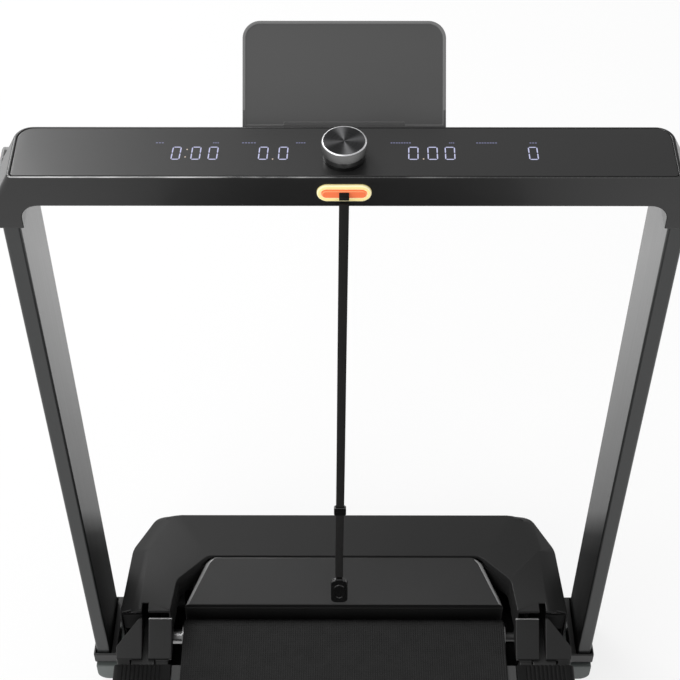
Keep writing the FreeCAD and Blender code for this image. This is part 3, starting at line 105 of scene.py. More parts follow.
# Finishes
class Wire:
    """A shader output that takes part in Python sums."""

    def __init__(self, finish, socket):
        self.finish = finish
        self.socket = socket

    def maths(self, operation, *values):
        return self.finish.node("ShaderNodeMath", {"operation": operation}, dict(enumerate(values)))

    def through(self, operation, *others):
        """This value through a function of it, and of others where it takes them."""
        return self.maths(operation, self, *others)

    def beside(self, output):
        """Another output of the same node."""
        return Wire(self.finish, self.socket.node.outputs[output])

    def __add__(self, other):
        return self.maths("ADD", self, other)

    def __radd__(self, other):
        return self.maths("ADD", other, self)

    def __sub__(self, other):
        return self.maths("SUBTRACT", self, other)

    def __rsub__(self, other):
        return self.maths("SUBTRACT", other, self)

    def __mul__(self, other):
        return self.maths("MULTIPLY", self, other)

    def __rmul__(self, other):
        return self.maths("MULTIPLY", other, self)

    def __truediv__(self, other):
        return self.maths("DIVIDE", self, other)

    def __rtruediv__(self, other):
        return self.maths("DIVIDE", other, self)

    def __pow__(self, other):
        return self.maths("POWER", self, other)

    def __rpow__(self, other):
        return self.maths("POWER", other, self)


class Finish:
    """A material under construction: its nodes, its patterns and its one surface shader."""

    def __init__(self, name, tree=None):
        self.material = None
        if tree is None:
            self.material = bpy.data.materials.new(name)
            self.material.use_nodes = True
            tree = self.material.node_tree
        self.tree = tree
        tree.nodes.clear()

    def node(self, kind, settings=None, sockets=None, out=0):
        """Any node: its settings first, then the values or links of its sockets."""
        made = self.tree.nodes.new(kind)
        for name, value in (settings or {}).items():
            if name == "stops":
                ramp = made.color_ramp
                while len(ramp.elements) < len(value):
                    ramp.elements.new(1.0)
                for element, (place, shade) in zip(ramp.elements, value):
                    element.position = place
                    element.color = (shade, shade, shade, 1.0)
            else:
                setattr(made, name, value)
        for key, value in (sockets or {}).items():
            if isinstance(value, Wire):
                self.tree.links.new(value.socket, made.inputs[key])
            else:
                made.inputs[key].default_value = value
        return Wire(self, made.outputs[out]) if len(made.outputs) else None

    def place(self, scale=(1.0, 1.0, 1.0), centre=(0.0, 0.0, 0.0)):
        """Object coordinates, stretched about a centre."""
        spot = self.node("ShaderNodeTexCoord", out="Object")
        if centre != (0.0, 0.0, 0.0):
            spot = self.node("ShaderNodeVectorMath", {"operation": "SUBTRACT"}, {0: spot, 1: centre})
        return self.node("ShaderNodeMapping", None, {"Vector": spot, "Scale": scale})

    def noise(self, scale, detail=2.0, stretch=(1.0, 1.0, 1.0)):
        """Cloudy value from 0 to 1 at so many waves a metre."""
        return self.node(
            "ShaderNodeTexNoise", None,
            {"Vector": self.place(stretch), "Scale": scale, "Detail": detail, "Roughness": 0.55}, "Fac")

    def stripes(self, value, waves):
        """Uneven stripes along a value, at so many waves a metre."""
        return self.node(
            "ShaderNodeTexNoise", {"noise_dimensions": "1D"}, {"W": value * waves, "Detail": 3.0}, "Fac")

    def axis(self, letter, centre=(0.0, 0.0, 0.0)):
        """One of the object coordinates."""
        return self.node("ShaderNodeSeparateXYZ", None, {0: self.place(centre=centre)}, letter)

    def mix(self, share, first, second):
        """Colour between two colours."""
        return self.node(
            "ShaderNodeMix", {"data_type": "RGBA", "clamp_factor": True}, {0: share, 6: first, 7: second}, 2)

    def ramp(self, value, *stops):
        """Value through a ramp of (place, level) stops."""
        return self.node("ShaderNodeValToRGB", {"stops": stops}, {"Fac": value})

    def bump(self, height, depth, under=None):
        """Surface relief of a depth in metres, on top of another one."""
        sockets = {"Height": height, "Distance": depth, "Strength": 1.0}
        if under is not None:
            sockets["Normal"] = under
        return self.node("ShaderNodeBump", None, sockets)

    def edge(self):
        """1 on the broken edges of a piece, 0 elsewhere."""
        return self.node("ShaderNodeAttribute", {"attribute_name": "edge"}, out="Fac")

    def surface(self, **values):
        """The surface shader; the words of a socket's name are joined by _."""
        sockets = {}
        for name, value in values.items():
            words = name.replace("_", " ").title().replace("Ior", "IOR")
            sockets[words] = value
        shader = self.node("ShaderNodeBsdfPrincipled", None, sockets, "BSDF")
        self.node("ShaderNodeOutputMaterial", None, {"Surface": shader})
        return self.material


def grey(level):
    """Linear colour of an even grey given as it looks on screen, 0 to 255."""
    return tint(level, level, level)


def tint(red, green, blue):
    """Linear colour from screen values, 0 to 255."""
    shade = []
    for part in (red, green, blue):
        part = part / 255
        shade.append(part / 12.92 if part <= 0.04045 else ((part + 0.055) / 1.055) ** 2.4)
    return (*shade, 1.0)


def scaled(colour, share):
    """A colour made darker or lighter."""
    return (*[part * share for part in colour[:3]], 1.0)


def moulded(name, colour, rough, grain=0.00004, level=0.5, rub=0.35, scale=1500.0, coat=0.0):
    """Moulded plastic: eroded grain, faint flow marks and edges rubbed slightly paler, partly wear and
    partly a painted highlight.
    """
    f = Finish(name)
    flow = f.noise(9.0, 3.0, (1.0, 1.0, 0.4))
    speck = f.noise(scale, 2.0)
    body = f.mix(flow, scaled(colour, 0.86), scaled(colour, 1.16))
    # Paler edges: partly wear, partly a painted highlight along them.
    rubbed = f.mix(f.edge() * f.noise(60.0) * rub, body, scaled(colour, 2.6))
    return f.surface(
        base_color=rubbed, roughness=rough - 0.06 + 0.08 * flow + 0.06 * speck - 0.14 * f.edge(),
        specular_ior_level=level, coat_weight=coat, coat_roughness=0.1, normal=f.bump(speck, grain))


def painted_edge_highlight(name, dim, bright, bright_x=-1.0, dim_x=2.0):
    """Painted highlight along a narrow edge: pale, broken up along its length and fading along x."""
    f = Finish(name)
    fade = f.node(
        "ShaderNodeMapRange", {"clamp": True},
        {"Value": f.axis("X"), "From Min": dim_x, "From Max": bright_x}, "Result")
    # Share of the painted highlight, broken up by noise and fading along x.
    wear_and_painted_highlight = fade * f.ramp(f.noise(14.0, 3.0), (0.38, 0.0), (0.62, 1.0))
    return f.surface(
        base_color=f.mix(wear_and_painted_highlight, dim, bright), roughness=0.22 + 0.1 * f.noise(300.0), coat_weight=0.5,
        normal=f.bump(f.noise(900.0), 0.00001))


def satin_panel(name, colour, rough, coat, rub=0.35):
    """Smooth panel with a satin top coat, wiping streaks and a trace of dust."""
    f = Finish(name)
    wipe = f.noise(5.0, 4.0, (0.35, 2.0, 1.0))
    mottle = f.noise(700.0, 1.0)
    body = f.mix(wipe, scaled(colour, 0.9), scaled(colour, 1.12))
    rubbed = f.mix(f.edge() * rub, body, scaled(colour, 3.0))
    return f.surface(
        base_color=rubbed, roughness=rough + 0.07 * wipe + 0.03 * mottle, coat_weight=coat,
        coat_roughness=0.12, normal=f.bump(mottle, 0.000006))


def anodised(name, colour, low_shade_colour, rough, stops, lean=0.0):
    """Extruded aluminium with a dark anodised skin, drawn along its length. Its gloss follows the height,
    on lines that fall towards the front by the lean, and its colour goes the same way from the low shade
    colour up to its own, which paints shade low down where the two differ."""
    f = Finish(name)
    upright_back = 0.55
    height = f.axis("Z", (0.0, upright_back, 0.0))
    # The height ramp sets the gloss, and also how much painted shade the colour takes.
    smooth = f.ramp(height + lean * height.beside("Y"), *stops)
    drawn = f.noise(900.0, 3.0, (1.0, 1.0, 0.006))
    cloud = f.noise(3.0, 3.0)
    painted_low_shade = f.mix(smooth, low_shade_colour, colour)
    body = f.mix(0.2 * cloud, painted_low_shade, scaled(colour, 1.1))
    lined = f.mix(0.25 * drawn * smooth, body, scaled(colour, 1.9))
    rubbed = f.mix(f.edge() * 0.3, lined, scaled(colour, 2.4))
    return f.surface(
        base_color=rubbed, metallic=0.25 * smooth, specular_ior_level=0.1,
        roughness=rough + 0.5 * (1 - smooth) - 0.05 + 0.12 * drawn + 0.06 * cloud,
        coat_weight=smooth, coat_roughness=rough,
        normal=f.bump(drawn, 0.000008))


def painted_casting(name, colour, rough):
    """Cast metal under a coat of paint: soft lumps, fine orange peel and chipped edges."""
    f = Finish(name)
    lump = f.noise(55.0, 2.0)
    peel = f.noise(420.0, 2.0)
    body = f.mix(lump, scaled(colour, 0.9), scaled(colour, 1.08))
    chip = f.ramp(f.noise(240.0), (0.62, 0.0), (0.68, 1.0))
    wear_and_painted_highlight = f.mix(f.edge() * chip, body, scaled(colour, 1.7))
    return f.surface(
        base_color=wear_and_painted_highlight, roughness=rough + 0.1 * peel, metallic=0.0,
        normal=f.bump(peel, 0.00003, f.bump(lump, 0.00012)))


def turned_metal(name, colour, rough, stretch):
    """Bare metal with tool marks drawn out along the way it was worked."""
    f = Finish(name)
    mark = f.noise(1100.0, 3.0, stretch)
    stain = f.noise(30.0, 3.0)
    body = f.mix(mark, scaled(colour, 0.8), scaled(colour, 1.15))
    dull = f.mix(f.ramp(stain, (0.55, 0.0), (0.8, 0.5)), body, scaled(colour, 0.55))
    return f.surface(
        base_color=dull, metallic=1.0, roughness=rough + 0.12 * mark + 0.1 * stain,
        normal=f.bump(mark, 0.000006))


def rubber(name, colour, rough):
    """Moulded rubber: matt, with bloom and a pebbled skin."""
    f = Finish(name)
    pebble = f.noise(900.0, 2.0)
    bloom = f.noise(40.0, 4.0)
    body = f.mix(f.ramp(bloom, (0.45, 0.0), (0.75, 1.0)), colour, scaled(colour, 1.8))
    return f.surface(
        base_color=body, roughness=rough + 0.08 * pebble, specular_ior_level=0.3,
        normal=f.bump(pebble, 0.00006))


def belt_cloth(name, colour, pitch):
    """Running belt: a diamond emboss in matt rubber, fainter where feet have polished it."""
    f = Finish(name)
    cell = f.node(
        "ShaderNodeTexVoronoi", {"feature": "SMOOTH_F1"},
        {"Vector": f.place((1.0, 0.8, 1.0)), "Scale": 620.0, "Smoothness": 0.4}, "Distance")
    weave = f.noise(1500.0, 3.0)
    across = f.axis("X")
    along = across.beside("Y")
    turns = 2 * math.pi / pitch
    row = ((across + along) * turns).through("SINE")
    column = ((across - along) * turns).through("SINE")
    diamond = 0.5 + 0.5 * row * column
    scuff = f.noise(14.0, 5.0, (2.0, 0.35, 1.0))
    speck = f.ramp(f.noise(560.0, 1.0), (0.5, 0.0), (0.7, 1.0))
    body = f.mix(f.ramp(scuff, (0.4, 0.0), (0.8, 1.0)), colour, scaled(colour, 1.6))
    kept = f.ramp(f.noise(60.0, 2.0), (0.4, 0.2), (0.65, 1.0))
    pressed = f.mix(diamond * kept * 0.8, body, scaled(colour, 0.1))
    grained = f.mix(speck * 0.5, pressed, scaled(colour, 2.2))
    return f.surface(
        base_color=grained, roughness=0.6 + 0.14 * scuff, specular_ior_level=0.3,
        normal=f.bump(weave, 0.00008, f.bump(diamond, 0.0005, f.bump(cell, 0.0002))))


def laminate(name, colour):
    """Deck board: dark phenolic face with a fine fibre grain."""
    f = Finish(name)
    fibre = f.noise(300.0, 4.0, (1.0, 0.05, 1.0))
    body = f.mix(fibre, scaled(colour, 0.75), scaled(colour, 1.25))
    return f.surface(base_color=body, roughness=0.5 + 0.15 * fibre, normal=f.bump(fibre, 0.00003))


def circuit(name):
    """Circuit board: green lacquer over paler copper runs."""
    f = Finish(name)
    runs = f.node(
        "ShaderNodeTexBrick", {"offset": 0.37},
        {"Vector": f.place(), "Scale": 60.0, "Mortar Size": 0.03, "Color1": grey(0), "Color2": grey(0),
         "Mortar": grey(255)}, "Color")
    body = f.mix(runs, tint(20, 70, 44), tint(66, 124, 84))
    return f.surface(base_color=body, roughness=0.35 + 0.1 * f.noise(80.0), coat_weight=0.3)


def glossy_black(name, level, rough):
    """Polished black moulding with hairline scratches."""
    f = Finish(name)
    hair = f.noise(400.0, 3.0, (1.0, 0.08, 1.0))
    body = f.mix(f.edge() * 0.4, f.mix(hair, grey(level), grey(level + 6)), grey(level + 46))
    return f.surface(
        base_color=body, roughness=rough + 0.1 * hair, coat_weight=0.4, coat_roughness=0.08,
        normal=f.bump(hair, 0.000004))


def spun_metal_painted_sheen(name, centre, rim):
    """Knob of turned aluminium: rings from the lathe on its top, with a painted highlight in four bright
    sectors, duller on the side past the rim.
    """
    f = Finish(name)
    spot = f.place((1.0, 1.0, 0.0), centre)
    radius = f.node("ShaderNodeVectorMath", {"operation": "LENGTH"}, {0: spot}, "Value")
    ring = f.stripes(radius, 5200.0)
    band = f.stripes(f.axis("Z"), 5200.0)
    aside = f.node("ShaderNodeSeparateXYZ", None, {0: spot}, "X")
    angle = aside.beside("Y").through("ARCTAN2", aside)
    # Painted highlight: four bright sectors round the top, fixed on the knob.
    painted_bowtie = 0.5 + 0.5 * (angle * 4 - 0.9).through("COSINE")
    body = f.mix(ring * band, tint(40, 40, 41), tint(82, 82, 83))
    top_with_painted_bowtie = f.mix(0.3 * painted_bowtie ** 3.0, body, tint(168, 168, 170))
    side = radius.through("GREATER_THAN", rim)
    whole = f.mix(side, top_with_painted_bowtie, f.mix(band, tint(104, 104, 104), tint(136, 136, 135)))
    bright = f.mix(f.edge(), whole, tint(248, 248, 250))
    return f.surface(
        base_color=bright, metallic=1.0, roughness=0.24 + 0.14 * ring + 0.24 * side, anisotropic=0.75,
        normal=f.bump(ring + band, 0.000004))


def enamel_colour(name, colour, paler):
    """Fluorescent gloss plastic, paler at its edges, with a faint painted glow in its own colour."""
    f = Finish(name)
    cloud = f.noise(70.0, 2.0)
    body = f.mix(f.edge() * 0.7, f.mix(cloud, colour, scaled(colour, 1.06)), paler)
    # Painted glow: a faint emission in the body's own colour.
    return f.surface(
        base_color=body, roughness=0.3 + 0.08 * cloud, specular_ior_level=0.4, emission_color=body,
        emission_strength=0.2, normal=f.bump(f.noise(1300.0), 0.00001))


def webbing(name):
    """Narrow woven strap: ribs across it and two rows of warp, from its own UV map."""
    f = Finish(name)
    pick_pitch = 0.0011
    warp_pitch = 0.0013
    lay = f.node("ShaderNodeUVMap", {"uv_map": "weave"})
    across = f.node("ShaderNodeSeparateXYZ", None, {0: lay}, "X")
    along = across.beside("Y")
    pick = (along * (2 * math.pi / pick_pitch)).through("SINE")
    warp = (across * (2 * math.pi / warp_pitch)).through("SINE")
    cloth = 0.5 + 0.25 * pick + 0.25 * warp
    fuzz = f.noise(2200.0, 2.0)
    body = f.mix(cloth * 0.7 + fuzz * 0.3, tint(9, 8, 8), tint(22, 21, 20))
    return f.surface(
        base_color=body, roughness=0.78 + 0.12 * fuzz, specular_ior_level=0.25, sheen_weight=0.05,
        normal=f.bump(fuzz, 0.00005, f.bump(cloth, 0.00022)))


def lit(name, colour, strength):
    """Lit mark of the display, a little uneven like a filtered lamp."""
    f = Finish(name)
    glow = f.mix(f.noise(160.0, 1.0), scaled(colour, 0.8), colour)
    return f.surface(
        base_color=grey(14), roughness=0.35 + 0.1 * f.noise(300.0), emission_color=glow,
        emission_strength=strength)


knob_middle = (0.0, 0.572, 0.0)
knob_rim = 0.0223
belt_pitch = 0.0062
upright_grey = tint(52, 53, 53)
finishes = {
    "frame_steel": moulded("powder_coat", grey(24), 0.48, 0.00008, 0.5, 0.3, 600.0),
    "deck_board": laminate("deck_laminate", grey(62)),
    "rail_plastic": moulded("rail_moulding", grey(8), 0.6, 0.00005, 0.2, 0.15),
    "belt_rubber": belt_cloth("belt_cloth", grey(21), belt_pitch),
    "roller_steel": turned_metal("roller_steel", grey(120), 0.14, (1.0, 0.05, 0.05)),
    "bearing_steel": turned_metal("bearing_steel", grey(48), 0.36, (0.1, 1.0, 1.0)),
    "pulley_alloy": turned_metal("pulley_alloy", grey(160), 0.2, (1.0, 0.06, 0.06)),
    "hood_plastic": moulded("hood_moulding", grey(30), 0.5, level=0.32),
    "panel_plastic": moulded("entry_moulding", grey(38), 0.3, coat=0.15),
    "tray_plastic": moulded("tray_moulding", grey(24), 0.55),
    "motor_enamel": painted_casting("motor_enamel", grey(46), 0.42),
    "circuit_board": circuit("circuit_lacquer"),
    "inlet_plastic": moulded("inlet_moulding", grey(16), 0.4),
    "rocker_plastic": glossy_black("rocker_gloss", 14, 0.22),
    "foot_alloy": painted_casting("foot_paint", tint(100, 106, 104), 0.42),
    "foot_rubber": rubber("foot_rubber", grey(18), 0.72),
    "wheel_rubber": rubber("wheel_rubber", grey(28), 0.6),
    "upright_alloy": anodised(
        "upright_anodised", upright_grey, upright_grey, 0.2, ((0.0, 0.44), (1.0, 0.6))),
    "boot_plastic": moulded("boot_moulding", grey(24), 0.4),
    "bar_plastic": moulded("bar_moulding", grey(14), 0.3, coat=0.15),
    "console_gloss": satin_panel("console_panel", grey(31), 0.3, 0.15),
    "knob_metal": spun_metal_painted_sheen("knob_spun_painted_sheen", knob_middle, knob_rim),
    "bezel_plastic": glossy_black("bezel_gloss", 8, 0.12),
    "key_yellow": enamel_colour("key_frame", tint(255, 238, 164), tint(255, 248, 214)),
    "key_orange": enamel_colour("key_insert", tint(248, 124, 78), tint(252, 160, 112)),
    "strap_webbing": webbing("strap_weave"),
    "clip_plastic": glossy_black("clip_gloss", 12, 0.2),
    "rest_plastic": satin_panel("rest_panel", grey(72), 0.36, 0.1, 0.8),
}
screw_finish = turned_metal("screw_zinc", grey(70), 0.34, (1.0, 1.0, 0.1))
pin_finish = turned_metal("contact_plate", tint(206, 190, 150), 0.25, (1.0, 0.1, 1.0))
digit_finish = lit("display_digit", tint(206, 208, 244), 1.0)
point_finish = lit("display_point", tint(226, 206, 190), 1.0)
label_finish = lit("display_label", tint(122, 124, 158), 0.9)
# Painted shade: near black on the entry panel's lip under its front edge.
lip_shade_finish = moulded("entry_lip", grey(6), 0.6)
# Painted shade: the uprights' inner faces darken to near black low down, where the hood's shade falls.
inside_upright = anodised(
    "upright_inside", upright_grey, grey(5), 0.2,
    ((0.30, 0.0), (0.345, 0.04), (0.40, 0.3), (0.58, 0.42), (0.70, 0.54), (0.88, 0.72)), 1.4)
# Painted shade: near black for the hood's hollow, the ends of its legs and the webs that close them.
hollow_shade_finish = moulded("hood_inside", grey(7), 0.7, 0.00008, 0.2, 0.0)
# Painted highlight on the bar's upper front edge, brightest towards the left.
bar_painted_highlight = painted_edge_highlight("bar_painted_highlight", grey(44), grey(206), -0.12, 0.14)
# Painted highlight on the far top edges of the rails' end blocks.
block_painted_highlight = painted_edge_highlight("block_painted_highlight", grey(140), grey(205))
# Painted highlight on the entry panel's rounded flanks.
flank_painted_highlight = painted_edge_highlight("flank_painted_highlight", grey(128), grey(178))
rotor_finish = turned_metal("rotor_black", grey(26), 0.34, (1.0, 0.06, 0.06))
skirt_finish = glossy_black("knob_skirt", 30, 0.34)
shaft_finish = turned_metal("shaft_zinc", grey(100), 0.4, (0.1, 1.0, 1.0))

slot_of = {}
for part in frame["record"]["subparts"]:
    slot_of[part["node"]] = part["material_slot"]
    nodes[part["node"]].data.materials[0] = finishes[part["material_slot"]]
nodes["motor_rotor"].data.materials[0] = rotor_finish
for end in ("front", "rear"):
    nodes[end + "_roller_shaft"].data.materials[0] = shaft_finish


# Pieces
def piece(name, mesh, body, finish, stands_for=()):
    """Object at the origin with a finish, on its body."""
    made = bpy.data.objects.new(name, mesh)
    scene.collection.objects.link(made)
    mesh.materials.clear()
    mesh.materials.append(finish)
    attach(made, body)
    if stands_for:
        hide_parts(*stands_for)
    return made


def weighted(made):
    """Keeps flat faces flat in the shading beside their rounded edges."""
    kept = made.modifiers.new("even_faces", "WEIGHTED_NORMAL")
    kept.keep_sharp = True
    return made


def close_up(shape, name, sharp=50.0):
    """Mesh from a bmesh, smooth but for its hard edges."""
    for face in shape.faces:
        face.smooth = True
    for edge in shape.edges:
        if len(edge.link_faces) == 2:
            edge.smooth = edge.calc_face_angle(0.0) < math.radians(sharp)
    mesh = bpy.data.meshes.new(name)
    shape.to_mesh(mesh)
    shape.free()
    return mesh


def loft(shape, rings, looped=False):
    """Faces between rings of points. The last ring runs on to the first, or both ends are capped."""
    count = len(rings[0])
    faces = []
    for i in range(len(rings) if looped else len(rings) - 1):
        after = rings[(i + 1) % len(rings)]
        for j in range(count):
            k = (j + 1) % count
            faces.append(shape.faces.new((rings[i][j], rings[i][k], after[k], after[j])))
    if not looped:
        shape.faces.new(list(reversed(rings[0])))
        shape.faces.new(rings[-1])
    return faces


def outward(shape):
    """Turns all faces outwards."""
    bmesh.ops.recalc_face_normals(shape, faces=shape.faces)


def joined_mesh(node):
    """Copy of a node's form with its triangles joined and its flat faces whole."""
    shape = bmesh.new()
    shape.from_mesh(nodes[node].data)
    for layer in list(shape.loops.layers.uv):
        shape.loops.layers.uv.remove(layer)
    bmesh.ops.remove_doubles(shape, verts=shape.verts, dist=0.000002)
    bmesh.ops.dissolve_limit(
        shape, angle_limit=math.radians(0.6), verts=shape.verts, edges=shape.edges)
    wide = [face for face in shape.faces if len(face.verts) > 4]
    bmesh.ops.triangulate(shape, faces=wide, ngon_method="BEAUTY")
    return shape


def face_width(face):
    """Rough width of a face: its area over its longest side."""
    longest = max(edge.calc_length() for edge in face.edges)
    return face.calc_area() / longest


def break_edges(shape, width, limit=30.0):
    """Rounds the edges harder than a limit, and marks the new faces, which handling rubs first."""
    slim = 0.0025
    slim_limit = 40.0
    mark = shape.faces.layers.float.new("edge")
    hard = []
    for edge in shape.edges:
        if len(edge.link_faces) != 2:
            continue
        angle = math.degrees(edge.calc_face_angle(0.0))
        narrow = min(face_width(face) for face in edge.link_faces) < slim
        if angle > (slim_limit if narrow else limit):
            hard.append(edge)
    made = bmesh.ops.bevel(
        shape, geom=hard, offset=width, offset_type="OFFSET", segments=2, profile=0.5,
        affect="EDGES", clamp_overlap=False)
    for face in made["faces"]:
        face[mark] = 1.0


def skin(node, width, reshape=None):
    """A node's own form, reshaped where need be, with its edges broken, standing for it."""
    slot = slot_of[node]
    shape = joined_mesh(node)
    if reshape:
        reshape(shape)
    break_edges(shape, width)
    made = piece(
        node + "_skin", close_up(shape, node), nodes[node]["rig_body"], finishes[slot], [node])
    return weighted(made)


photo_camera()


# Lanyard
def smooth_line(name, points):
    """Points along the NURBS line that has these control points."""
    curve = bpy.data.curves.new(name, "CURVE")
    curve.dimensions = "3D"
    curve.resolution_u = 10
    spline = curve.splines.new("NURBS")
    spline.points.add(len(points) - 1)
    for point, place in zip(spline.points, points):
        point.co = (*place, 1.0)
    spline.order_u = 3
    spline.use_endpoint_u = True
    carrier = bpy.data.objects.new(name, curve)
    scene.collection.objects.link(carrier)
    depsgraph = bpy.context.evaluated_depsgraph_get()
    mesh = bpy.data.meshes.new_from_object(carrier.evaluated_get(depsgraph))
    line = [vert.co.copy() for vert in mesh.vertices]
    bpy.data.objects.remove(carrier)
    bpy.data.meshes.remove(mesh)
    return line


lanyard_pin = Vector((0.0, 0.5335, 0.9468))


def strip(shape, points, normals):
    """Adds a closed strip of the strap's section along points, with the weave laid along it."""
    half = 0.005
    thick = 0.0007
    section = [
        (-half, -0.4 * thick), (-0.94 * half, -thick), (0.0, -1.08 * thick), (0.94 * half, -thick),
        (half, -0.4 * thick), (half, 0.4 * thick), (0.94 * half, thick), (0.0, 1.08 * thick),
        (-0.94 * half, thick), (-half, 0.4 * thick),
    ]
    uv = shape.loops.layers.uv.get("weave") or shape.loops.layers.uv.new("weave")
    rings = []
    runs = []
    run = 0.0
    for i, point in enumerate(points):
        if i:
            run += (point - points[i - 1]).length
        runs.append(run)
        rings.append([shape.verts.new(point + Vector((u, 0, 0)) + normals[i] * v) for u, v in section])
    count = len(section)
    for n, face in enumerate(loft(shape, rings)):
        i, j = divmod(n, count)
        k = (j + 1) % count
        spots = ((j, i), (k, i), (k, i + 1), (j, i + 1))
        for loop, (a, b) in zip(face.loops, spots):
            loop[uv].uv = (section[a][0], runs[b])


def woven(name, shape, body, stands_for=()):
    """Piece of webbing from its strips."""
    outward(shape)
    return piece(
        name, close_up(shape, name, 60.0), body, finishes["strap_webbing"], stands_for)


def lanyard():
    """Woven strap from the key's pin down to its clip, rolled round the pin at its top."""
    y = lanyard_pin.y
    route = [
        lanyard_pin, (-0.0004, y, 0.91), (-0.0024, y, 0.69), (-0.0034, y, 0.56), (-0.0046, y, 0.43),
        (-0.0060, y, 0.31), (-0.0060, y, 0.276),
    ]
    line = smooth_line("lanyard_route", route)
    shape = bmesh.new()
    eye = 0.0008
    open_angle = 0.35
    turns = 20
    spokes = []
    for i in range(turns + 1):
        angle = -math.pi / 2 + open_angle + 2 * (math.pi - open_angle) * i / turns
        spokes.append(Vector((0, math.cos(angle), math.sin(angle))))
    strip(shape, [lanyard_pin + spoke * eye for spoke in spokes], spokes)
    below = [point for point in line if point.z < lanyard_pin.z - eye]
    strip(shape, below, [Vector((0, 1, 0))] * len(below))
    return woven("lanyard_strap_woven", shape, "lanyard", ["lanyard_strap"]), line


strap, strap_line = lanyard()

# Skins of the plain mouldings, castings and tubes, each with its edge width in metres
for node_name, edge_width in {
    "handlebar_shell": 0.0009, "console_panel": 0.0004, "key_socket": 0.0012,
    "lanyard_slider": 0.0010, "lanyard_clip": 0.0008, "clip_jaw": 0.0008, "upright_left": 0.0005,
    "upright_right": 0.0005, "boots": 0.0008, "foot_brackets": 0.0012,
    "rail_end_blocks": 0.0016, "hinge_covers": 0.0010,
    "side_rail_front_left": 0.0004, "side_rail_front_right": 0.0004, "side_rail_rear_left": 0.0004,
    "side_rail_rear_right": 0.0004, "rear_end_caps": 0.0008, "fold_hinge_leaves_front": 0.0008,
    "fold_hinge_leaves_rear": 0.0008, "base_tray": 0.0010,
    "power_inlet": 0.0005, "power_rocker": 0.0004, "front_side_members": 0.0012,
    "rear_side_members": 0.0012, "wheel_forks": 0.0008, "knob_bezel": 0.0006,
    "running_belt_front": 0.0004, "running_belt_rear": 0.0004,
}.items():
    skin(node_name, edge_width)


# Hood
def fuller_corners(shape):
    """Moves the front ends of the hood's slanted corners outwards, to the outline in the photograph."""
    corner_y = 0.655
    front_y = 0.711
    still_half = 0.200
    corner_half = 0.2582
    out = 0.0075
    crease_half = 0.2313
    crease_still = 0.150
    crease_out = 0.0055
    crease_low = 0.165
    for vert in shape.verts:
        half = abs(vert.co.x)
        ahead = min((vert.co.y - corner_y) / (front_y - corner_y), 1.0)
        if ahead <= 0.0:
            continue
        moved = out * max(0.0, min((half - still_half) / (corner_half - still_half), 1.0))
        if vert.co.z > crease_low:
            moved += crease_out * max(0.0, min((half - crease_still) / (crease_half - crease_still), 1.0))
        vert.co.x += math.copysign(moved * ahead, vert.co.x)


def mouth_walls():
    """Walls of the hood's mouth beside the entry panel, down to the panel's foot."""
    corners = [Vector(spot) for spot in ((0.2304, 0.577), (0.228, 0.597), (0.188, 0.636), (0.170, 0.636))]
    radius = 0.016
    steps = 6
    path = [corners[0]]
    for before, corner, after in zip(corners, corners[1:], corners[2:]):
        back = (before - corner).normalized()
        on = (after - corner).normalized()
        half_angle = math.acos(max(-1.0, min(1.0, back.dot(on)))) / 2
        centre = corner + (back + on).normalized() * radius / math.sin(half_angle)
        first = corner + back * radius / math.tan(half_angle)
        last = corner + on * radius / math.tan(half_angle)
        for i in range(steps + 1):
            spoke = (first - centre).lerp(last - centre, i / steps).normalized()
            path.append(centre + spoke * radius)
    path.append(corners[-1])
    proud = 0.00025
    wall = 0.002
    low, high = 0.131, 0.157
    shape = bmesh.new()
    for way in (1, -1):
        rings = []
        for i, point in enumerate(path):
            heading = (path[min(i + 1, len(path) - 1)] - path[max(i - 1, 0)]).normalized()
            inward = Vector((-heading.y, heading.x))
            inner = point + inward * proud
            outer = point - inward * wall
            rings.append([
                shape.verts.new((way * spot.x, spot.y, z))
                for spot, z in ((inner, low), (inner, high), (outer, high), (outer, low))])
        loft(shape, rings)
    outward(shape)
    piece(
        "hood_mouth_walls", close_up(shape, "hood_mouth_walls"), "base", finishes["hood_plastic"])


def box(shape, low, high):
    """Adds a block between two corners."""
    made = bmesh.ops.create_cube(shape, size=1.0)
    middle = (Vector(low) + Vector(high)) / 2
    size = Vector(high) - Vector(low)
    for vert in made["verts"]:
        vert.co = middle + vert.co * size


def leg_webs():
    """Webs that close the hood's legs behind the hinge covers, dark with painted shade."""
    shape = bmesh.new()
    inner, outer = 0.2745, 0.3018
    near, far = 0.5500, 0.5520
    low, high = 0.1225, 0.1570
    box(shape, (inner, near, low), (outer, far, high))
    box(shape, (-outer, near, low), (-inner, far, high))
    outward(shape)
    piece("hood_leg_webs", close_up(shape, "hood_leg_webs"), "base", hollow_shade_finish)


skin("motor_hood", 0.0010, reshape=fuller_corners)
mouth_walls()
leg_webs()


